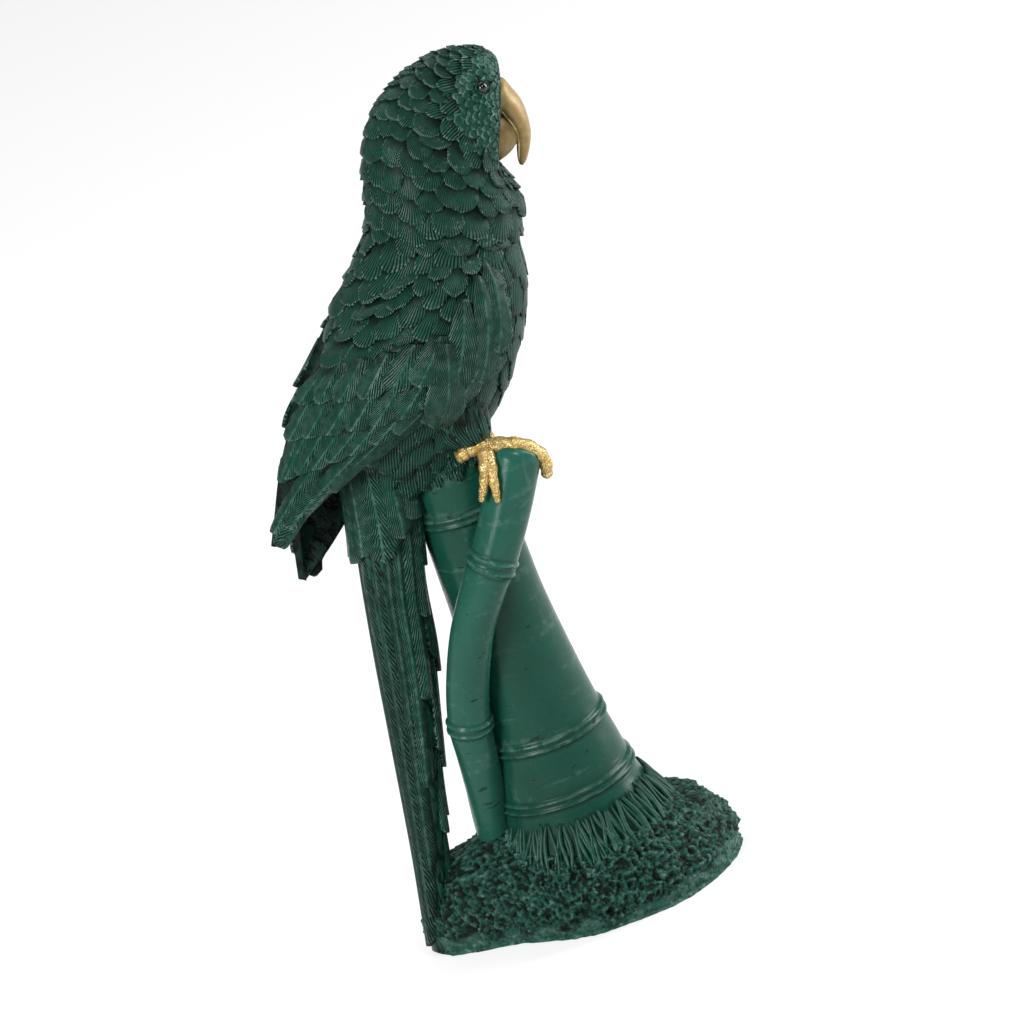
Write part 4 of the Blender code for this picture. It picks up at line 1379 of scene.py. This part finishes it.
class NodeGroups:
    """The effects that several paints share."""

    def __init__(self) -> None:
        """Builds the groups."""
        self.grooves = self.make_grooves()
        self.coat = self.make_coat()

    @staticmethod
    def start(name: str, inputs: Sequence[tuple], outputs: Sequence[tuple]) -> tuple[Sheet, object, object]:
        """Starts a group.

        Args:
            name: Its name.
            inputs: Name and kind of each input.
            outputs: Name and kind of each output.

        Returns:
            Its sheet, input node and output node.
        """
        tree = bpy.data.node_groups.new(name, "ShaderNodeTree")
        for label, kind in inputs:
            tree.interface.new_socket(label, in_out="INPUT", socket_type="NodeSocket" + kind)
        for label, kind in outputs:
            tree.interface.new_socket(label, in_out="OUTPUT", socket_type="NodeSocket" + kind)
        return Sheet(tree), tree.nodes.new("NodeGroupInput"), tree.nodes.new("NodeGroupOutput")

    def make_grooves(self) -> bpy.types.NodeTree:
        """Makes the grooves of feathers: fans from the root, barbs beside a shaft, or fine hairs.

        Returns:
            A group from feather coordinates to the height of the relief.
        """
        inputs = [("Quill", "Vector"), ("Tint", "Vector"), ("Place", "Vector")]
        sheet, take, give = self.start("feather_grooves", inputs, [("Height", "Float")])
        quill = sheet.parts(take.outputs["Quill"])
        tint = sheet.parts(take.outputs["Tint"])
        place = take.outputs["Place"]
        wobble = sheet.times(sheet.minus(sheet.noise(place, 260.0), 0.5), 5.5)
        start = sheet.times(tint[1], 40.0)
        pace = sheet.line(tint[1], 0.45, 0.8)
        drift = sheet.plus(wobble, start)
        aside = sheet.math("ABSOLUTE", quill[0])
        angle = sheet.math("ARCTAN2", quill[0], sheet.plus(quill[1], 2.0))
        fan = sheet.math("SINE", sheet.line(sheet.times(angle, pace), FAN_PITCH, drift))
        slant = sheet.minus(sheet.times(quill[1], 0.33), sheet.times(aside, 0.94))
        bent = sheet.line(wobble, 1.3, drift)
        vane = sheet.math("SINE", sheet.line(sheet.times(slant, pace), VANE_PITCH, bent))
        shaft = sheet.ramp(aside, 0.45, 0.15)
        vane = sheet.most(vane, sheet.minus(sheet.times(shaft, 3.0), 1.0))
        hair = sheet.math("SINE", sheet.line(quill[0], HAIR_PITCH, drift))
        wave = sheet.choose(sheet.is_kind(tint[2], Barbs.VANE), fan, vane)
        wave = sheet.choose(sheet.is_kind(tint[2], Barbs.HAIR), wave, hair)
        groove = sheet.minus(1.0, sheet.ramp(wave, -0.98, 0.25))
        deep = sheet.line(sheet.ramp(sheet.noise(place, 210.0, 2.0), 0.3, 0.52), 0.5, 0.5)
        height = sheet.minus(1.0, sheet.times(groove, deep))
        ticks = sheet.ramp(sheet.noise(place, 1150.0, 2.0, (1.0, 1.0, 0.5)), 0.58, 0.66)
        ticks = sheet.line(ticks, 0.3, 0.7)
        height = sheet.choose(sheet.is_kind(tint[2], Barbs.TICK), height, ticks)
        sheet.join(height, give.inputs["Height"])
        return sheet.tree

    def make_coat(self) -> bpy.types.NodeTree:
        """Makes the colour of a paint from its hollow and rim masks, which lay on painted shade and painted
        highlight.

        Returns:
            A group from masks and colours to a colour and a roughness shift.
        """
        inputs = [("Body", "Color"), ("Hollow colour", "Color"), ("Rim colour", "Color")]
        inputs += [("Hollow", "Float"), ("Rim", "Float"), ("Place", "Vector")]
        outputs = [("Colour", "Color"), ("Roughness shift", "Float")]
        sheet, take, give = self.start("paint_coat", inputs, outputs)
        place = take.outputs["Place"]
        cloud = sheet.noise(place, 35.0, 4.0)
        fine = sheet.noise(place, 900.0, 2.0)
        tone = sheet.line(cloud, 0.7, 0.65)
        tone = sheet.times(tone, sheet.line(fine, 0.3, 0.85))
        body = sheet.add("VectorMath", {0: take.outputs["Body"], "Scale": tone}, operation="SCALE").outputs[0]
        # Rim colour where the rim mask is, broken up by noise: painted highlight, with dry-brush paint, brush
        # streaks and wear flecks.
        lightened = sheet.times(take.outputs["Rim"], sheet.ramp(sheet.noise(place, 420.0, 3.0), 0.38, 0.62))
        mixed = sheet.blend(lightened, body, take.outputs["Rim colour"])
        # Hollow colour where the hollow mask is: painted shade, with pooled paint and, on bamboo, cracks.
        sunk = sheet.least(take.outputs["Hollow"], 1.0)
        mixed = sheet.blend(sunk, mixed, take.outputs["Hollow colour"])
        sheet.join(mixed, give.inputs["Colour"])
        shift = sheet.times(sheet.minus(sheet.noise(place, 160.0), 0.5), 0.25)
        shift = sheet.plus(shift, sheet.times(take.outputs["Hollow"], 0.25))
        sheet.join(shift, give.inputs["Roughness shift"])
        return sheet.tree


class Paints:
    """Makes the paints' materials."""

    def __init__(self, groups: NodeGroups) -> None:
        """Keeps the shared groups.

        Args:
            groups: The shared effects.
        """
        self.groups = groups

    def start(self, finish: PaintFinish, name: str) -> tuple[Sheet, bpy.types.Material, bpy.types.Node]:
        """Starts a material.

        Args:
            finish: Its paint.
            name: Its name.

        Returns:
            Its sheet, the material and its surface node.
        """
        material = bpy.data.materials.new(name)
        material.use_nodes = True
        material.diffuse_color = colour(finish.body)
        surface = material.node_tree.nodes["Principled BSDF"]
        surface.inputs["Metallic"].default_value = finish.metallic
        return Sheet(material.node_tree), material, surface

    def dress(
        self,
        sheet: Sheet,
        surface: bpy.types.Node,
        finish: PaintFinish,
        masks: tuple[object, object],
        height: object,
        depth: float,
    ) -> None:
        """Gives a surface its colour, roughness and relief.

        Args:
            sheet: The material's sheet.
            surface: Its surface node.
            finish: Its paint.
            masks: Hollow and rim masks.
            height: Height of the relief.
            depth: Depth of the relief in millimetres.
        """
        place = sheet.place()
        coat = sheet.add("Group", node_tree=self.groups.coat)
        colours = (("Body", finish.body), ("Hollow colour", finish.hollow), ("Rim colour", finish.rim))
        for key, value in colours:
            coat.inputs[key].default_value = colour(value)
        for key, value in (("Hollow", masks[0]), ("Rim", masks[1]), ("Place", place)):
            sheet.join(value, coat.inputs[key])
        sheet.join(coat.outputs["Colour"], surface.inputs["Base Color"])
        rough = sheet.plus(coat.outputs["Roughness shift"], finish.roughness)
        sheet.join(rough, surface.inputs["Roughness"])
        grain = sheet.line(sheet.noise(place, 1500.0, 2.0), 0.16, height)
        bump = sheet.add("Bump", {"Height": grain, "Distance": depth * MM, "Strength": 1.0})
        sheet.join(bump.outputs[0], surface.inputs["Normal"])

    def feathers(self) -> bpy.types.Material:
        """Makes the green paint on feathers, with painted shade in the grooves, at the roots and under the
        rims, and painted highlight on the rims and ridges, partly dry-brush paint.

        Returns:
            The material.
        """
        sheet, material, surface = self.start(GREEN, "green_paint_feathers")
        quill, tint = sheet.attribute("quill"), sheet.attribute("tint")
        edge = sheet.parts(sheet.attribute("edge"))
        parts, blade = sheet.parts(tint), sheet.parts(quill)
        place = sheet.place()
        relief = sheet.add("Group", node_tree=self.groups.grooves)
        for key, value in (("Quill", quill), ("Tint", tint), ("Place", place)):
            sheet.join(value, relief.inputs[key])
        height = relief.outputs["Height"]
        # Painted shade: dark in the grooves, at the root where a feather tucks under the one before it, and
        # under the rims.
        groove = sheet.math("POWER", sheet.minus(1.0, height), 1.4)
        tick, vane = sheet.is_kind(parts[2], Barbs.TICK), sheet.is_kind(parts[2], Barbs.VANE)
        root = sheet.least(sheet.ramp(parts[0], 0.6, 0.2), sheet.ramp(blade[1], 7.0, 3.0))
        faint = sheet.plus(sheet.times(tick, 0.6), sheet.times(vane, 0.4))
        root = sheet.times(root, sheet.minus(0.8, faint))
        hollow = sheet.plus(sheet.times(groove, 0.98), root)
        # Feathers longer than about 90 mm, in the tail, are painted darker all over.
        hollow = sheet.plus(hollow, sheet.times(sheet.ramp(blade[2], 90.0, 115.0), 0.36))
        hollow = sheet.plus(hollow, sheet.times(edge[1], sheet.line(tick, -0.7, 1.3)))
        # Painted highlight, partly dry-brush paint, on the rim near the tip and along the sides.
        to_tip = sheet.times(sheet.minus(1.0, parts[0]), blade[2])
        rim = sheet.most(sheet.ramp(to_tip, 0.9, 0.15), sheet.ramp(edge[2], 0.86, 1.0))
        rim = sheet.times(rim, sheet.ramp(parts[0], 0.3, 0.6))
        rim = sheet.times(rim, 1.2)
        # Painted highlight on the tops of the grooves' ridges.
        ridge = sheet.plus(sheet.times(tick, 0.5), sheet.line(vane, 0.26, 0.12))
        ridge = sheet.times(sheet.ramp(height, 0.8, 1.0), ridge)
        patches = sheet.ramp(sheet.noise(place, 48.0, 2.0), 0.5, 0.66)
        flecks = sheet.times(patches, sheet.ramp(sheet.noise(place, 900.0, 2.0), 0.54, 0.64))
        rim = sheet.most(sheet.plus(rim, ridge), sheet.times(flecks, 0.9))
        surface.inputs["Specular IOR Level"].default_value = FEATHER_GLOSS
        self.dress(sheet, surface, GREEN, (hollow, rim), height, 0.6)
        return material

    def skin(self) -> bpy.types.Material:
        """Makes the green paint on the bare face and between feathers, with fine curved ticks, painted
        highlight on their ridges and painted shade in their dips.

        Returns:
            The material.
        """
        sheet, material, surface = self.start(GREEN, "green_paint_skin")
        place = sheet.place()
        height = sheet.noise(place, 800.0, 4.0, (1.0, 1.0, 0.22))
        # Painted shade in the relief's dips and painted highlight on its ridges.
        masks = (sheet.ramp(height, 0.56, 0.4), sheet.times(sheet.ramp(height, 0.6, 0.75), 0.4))
        surface.inputs["Specular IOR Level"].default_value = FEATHER_GLOSS
        self.dress(sheet, surface, GREEN, masks, height, 0.6)
        return material

    def bamboo(self, finish: PaintFinish, name: str) -> bpy.types.Material:
        """Makes the smooth green paint on bamboo, with brush scratches, painted highlight on the rings' lips
        and painted shade in their grooves.

        Args:
            finish: Its paint.
            name: Its name.

        Returns:
            The material.
        """
        sheet, material, surface = self.start(finish, name)
        surface.inputs["Specular IOR Level"].default_value = BAMBOO_GLOSS
        edge = sheet.parts(sheet.attribute("edge"))
        place = sheet.place()
        lightened = sheet.ramp(sheet.noise(place, 220.0, 5.0, (1.0, 1.0, 0.16)), 0.57, 0.72)
        across = sheet.ramp(sheet.noise(place, 150.0, 5.0, (0.25, 0.25, 1.9)), 0.55, 0.68)
        rim = sheet.times(sheet.most(lightened, across), 0.42)
        # Painted highlight on the rings' lips and down the roots.
        rim = sheet.plus(rim, sheet.times(edge[0], 0.55))
        cracks = sheet.ramp(sheet.noise(place, 330.0, 4.0, (0.5, 0.5, 1.6)), 0.335, 0.27)
        # Painted shade in the rings' grooves, on the stem's foot and at the roots' tops; the cracks are real
        # dark lines.
        hollow = sheet.plus(sheet.times(edge[2], 0.75), sheet.times(cracks, 0.8))
        height = sheet.minus(sheet.times(rim, 0.3), hollow)
        self.dress(sheet, surface, finish, (hollow, rim), height, 0.14)
        return material

    def rock(self) -> bpy.types.Material:
        """Makes the green paint on the rock, with painted shade, black, in the pits and painted highlight as
        specks on the raised grain.

        Returns:
            The material.
        """
        sheet, material, surface = self.start(ROCK, "green_paint_rock")
        edge = sheet.parts(sheet.attribute("edge"))
        place = sheet.place()
        grit = sheet.noise(place, 1000.0, 6.0)
        cells = sheet.add("TexVoronoi", {"Vector": place, "Scale": 800.0}).outputs[0]
        height = sheet.plus(grit, sheet.times(cells, 0.6))
        # Painted shade in the mesh's pits and in the low grain.
        hollow = sheet.plus(edge[2], sheet.times(sheet.ramp(height, 0.72, 0.42), 0.8))
        # Painted highlight, partly dry-brush paint, as specks on the raised grain.
        specks = sheet.times(sheet.ramp(height, 0.9, 1.15), 0.8)
        rim = sheet.plus(sheet.times(edge[0], 0.7), specks)
        surface.inputs["Specular IOR Level"].default_value = ROCK_GLOSS
        self.dress(sheet, surface, ROCK, (hollow, rim), height, 0.55)
        return material

    def gold(self, rough: bool) -> bpy.types.Material:
        """Makes the gold paint, smooth on the beak or granular on the feet.

        Args:
            rough: Whether it is the feet's.

        Returns:
            The material.
        """
        finish = FOOT_GOLD if rough else GOLD
        sheet, material, surface = self.start(finish, "gold_paint_rough" if rough else "gold_paint_smooth")
        place = sheet.place()
        if rough:
            spot = {"Vector": place, "Scale": 1300.0}
            cells = sheet.add("TexVoronoi", spot, feature="DISTANCE_TO_EDGE").outputs[0]
            grains = sheet.times(sheet.ramp(cells, 0.0, 0.16), 0.6)
            height = sheet.plus(grains, sheet.noise(place, 1500.0, 3.0))
            # Painted shade along the grains' edges and painted highlight on their tops.
            masks = (sheet.times(sheet.ramp(cells, 0.07, 0.0), 0.75), sheet.ramp(height, 0.95, 1.25))
            self.dress(sheet, surface, finish, masks, height, 0.22)
        else:
            edge = sheet.parts(sheet.attribute("edge"))
            height = sheet.noise(place, 140.0, 3.0, (1.0, 1.0, 0.3))
            # Darker and lighter streaks follow the noise; the edge masks add painted shade under the upper
            # beak and painted highlight on its lip.
            hollow = sheet.line(sheet.ramp(height, 0.42, 0.3), 0.25, edge[2])
            rim = sheet.line(height, 0.25, edge[0])
            self.dress(sheet, surface, finish, (hollow, rim), height, 0.12)
        return material

    def eye(self) -> bpy.types.Material:
        """Makes the gloss black of the eyes.

        Returns:
            The material.
        """
        sheet, material, surface = self.start(EYE_BLACK, "eye_black")
        place = sheet.place()
        surface.inputs["Coat Weight"].default_value = EYE_COAT
        surface.inputs["Specular IOR Level"].default_value = EYE_GLOSS
        self.dress(sheet, surface, EYE_BLACK, (0.0, 0.0), sheet.noise(place, 300.0), 0.01)
        return material


@dataclass(frozen=True)
class SoftLight:
    """One studio light.

    Attributes:
        name: Its name.
        place: Where it stands, in millimetres.
        size: Width and height of its panel, in millimetres.
        power: Its power in watts.
    """

    name: str
    place: tuple[float, float, float]
    size: tuple[float, float]
    power: float


LIGHTS = (
    SoftLight("key_left", (-620.0, -760.0, 620.0), (360.0, 620.0), 9.4),
    SoftLight("rim_right", (900.0, 160.0, 380.0), (400.0, 900.0), 11.0),
    SoftLight("top_front", (250.0, -560.0, 820.0), (240.0, 190.0), 2.2),
    SoftLight("top_back", (-100.0, 600.0, 800.0), (900.0, 500.0), 3.4),
)
SKY_STRENGTH = 0.15
WHITE = (1.0, 1.0, 1.0)
FLOOR_RADIUS, FLOOR_SHADE, FLOOR_GLOW = 6.0, 0.4, 0.66  # metres, lit share and share that the view adds
AIM_HEIGHT = 130.0  # of the lights, in millimetres
CLIP_END = 50.0  # metres


class Studio:
    """Sets up the floor, the lights and the camera."""

    def floor(self) -> bpy.types.Object:
        """Makes the white floor, which keeps the figurine's shadow.

        Returns:
            The floor.
        """
        bm = bmesh.new()
        bmesh.ops.create_circle(bm, cap_ends=True, segments=96, radius=FLOOR_RADIUS)
        mesh = bpy.data.meshes.new("floor")
        bm.to_mesh(mesh)
        bm.free()
        floor = bpy.data.objects.new("floor", mesh)
        bpy.context.scene.collection.objects.link(floor)
        material = bpy.data.materials.new("floor_white")
        material.use_nodes = True
        tree = material.node_tree
        surface = tree.nodes["Principled BSDF"]
        surface.inputs["Base Color"].default_value = colour((FLOOR_SHADE,) * 3)
        surface.inputs["Roughness"].default_value = 0.9
        surface.inputs["Specular IOR Level"].default_value = 0.0
        surface.inputs["Emission Color"].default_value = colour(WHITE)
        sheet = Sheet(tree)
        seen = sheet.add("LightPath").outputs
        shown = sheet.most(seen["Is Camera Ray"], seen["Is Glossy Ray"])
        shown = sheet.most(shown, seen["Is Transmission Ray"])
        sheet.join(sheet.times(shown, FLOOR_GLOW), surface.inputs["Emission Strength"])
        mesh.materials.append(material)
        return floor

    def lights(self) -> None:
        """Places the lights round the figurine and the even light of the white room."""
        target = Vector((0.0, 0.0, AIM_HEIGHT)) * MM
        for light in LIGHTS:
            data = bpy.data.lights.new(light.name, "AREA")
            data.shape = "RECTANGLE"
            data.size, data.size_y = light.size[0] * MM, light.size[1] * MM
            data.energy = light.power
            lamp = bpy.data.objects.new(light.name, data)
            lamp.location = Vector(light.place) * MM
            lamp.rotation_euler = (target - lamp.location).to_track_quat("-Z", "Y").to_euler()
            bpy.context.scene.collection.objects.link(lamp)
        world = bpy.data.worlds.new("white_room")
        world.use_nodes = True
        sky = world.node_tree.nodes["Background"]
        sky.inputs["Color"].default_value = colour(WHITE)
        sky.inputs["Strength"].default_value = SKY_STRENGTH
        bpy.context.scene.world = world

    def camera(self) -> None:
        """Places the camera where the photograph's was, turned as the picture is in its layout."""
        data = bpy.data.cameras.new("camera")
        data.sensor_width = SENSOR
        data.lens = VIEW_SCALE * SENSOR * VIEW_DISTANCE / PICTURE
        data.clip_end = CLIP_END
        camera = bpy.data.objects.new("camera", data)
        rise = math.radians(VIEW_ELEVATION)
        away = Vector((0.0, -math.cos(rise), math.sin(rise)))
        camera.location = (Vector(VIEW_TARGET) + away * VIEW_DISTANCE) * MM
        turn = (-away).to_track_quat("-Z", "Y") @ Quaternion((0, 0, 1), math.radians(VIEW_ROLL))
        camera.rotation_euler = turn.to_euler()
        bpy.context.scene.collection.objects.link(camera)
        bpy.context.scene.camera = camera


def show(pile: Pile, name: str, material: bpy.types.Material) -> None:
    """Makes a piece and ties it to the frame.

    Args:
        pile: Its forms.
        name: Its name.
        material: Its paint.
    """
    piece = pile.to_object(name, material)
    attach(piece, "root")
    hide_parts(NODE)
    log.info("%s: %d faces", name, len(pile.faces))


def main() -> None:
    """Builds every piece, the studio and the camera."""
    logging.basicConfig(level=logging.INFO, format="%(name)s: %(message)s")
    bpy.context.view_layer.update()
    rng = np.random.default_rng(SEED)
    paints = Paints(NodeGroups())
    feathers, skin, rock = paints.feathers(), paints.skin(), paints.rock()
    bamboo = paints.bamboo(BAMBOO, "green_paint_bamboo")
    # The stalk gets the bamboo paint painted lighter, as painted light.
    lit_bamboo = paints.bamboo(STALK, "green_paint_stalk_lit")
    smooth_gold, rough_gold, black = paints.gold(False), paints.gold(True), paints.eye()
    bird = Bird(Plumage(rng))
    perch = Perch(rng)
    show(bird.core(), "body_core", skin)
    head, body = bird.body_feathers()
    show(head, "head_feathers", feathers)
    show(body, "body_feathers", feathers)
    show(bird.wing(Side.NEAR), "near_wing", feathers)
    show(bird.wing(Side.FAR), "far_wing", feathers)
    show(bird.tail(), "tail_feathers", feathers)
    show(bird.fringe(), "thigh_fringe", feathers)
    balls, lids = bird.eyes()
    show(balls, "eyes", black)
    show(lids, "eyelids", skin)
    show(bird.beak(), "beak", smooth_gold)
    show(bird.foot(NEAR_TOES), "near_foot", rough_gold)
    show(bird.foot(FAR_TOES), "far_foot", rough_gold)
    show(perch.stem(), "thick_stem", bamboo)
    show(perch.stalk(), "thin_stalk", lit_bamboo)
    show(perch.roots(), "root_fringe", bamboo)
    show(perch.rock(), "rock", rock)
    studio = Studio()
    studio.floor()
    studio.lights()
    studio.camera()
    bpy.context.scene.view_settings.view_transform = "Standard"


if __name__ == "__main__":
    main()
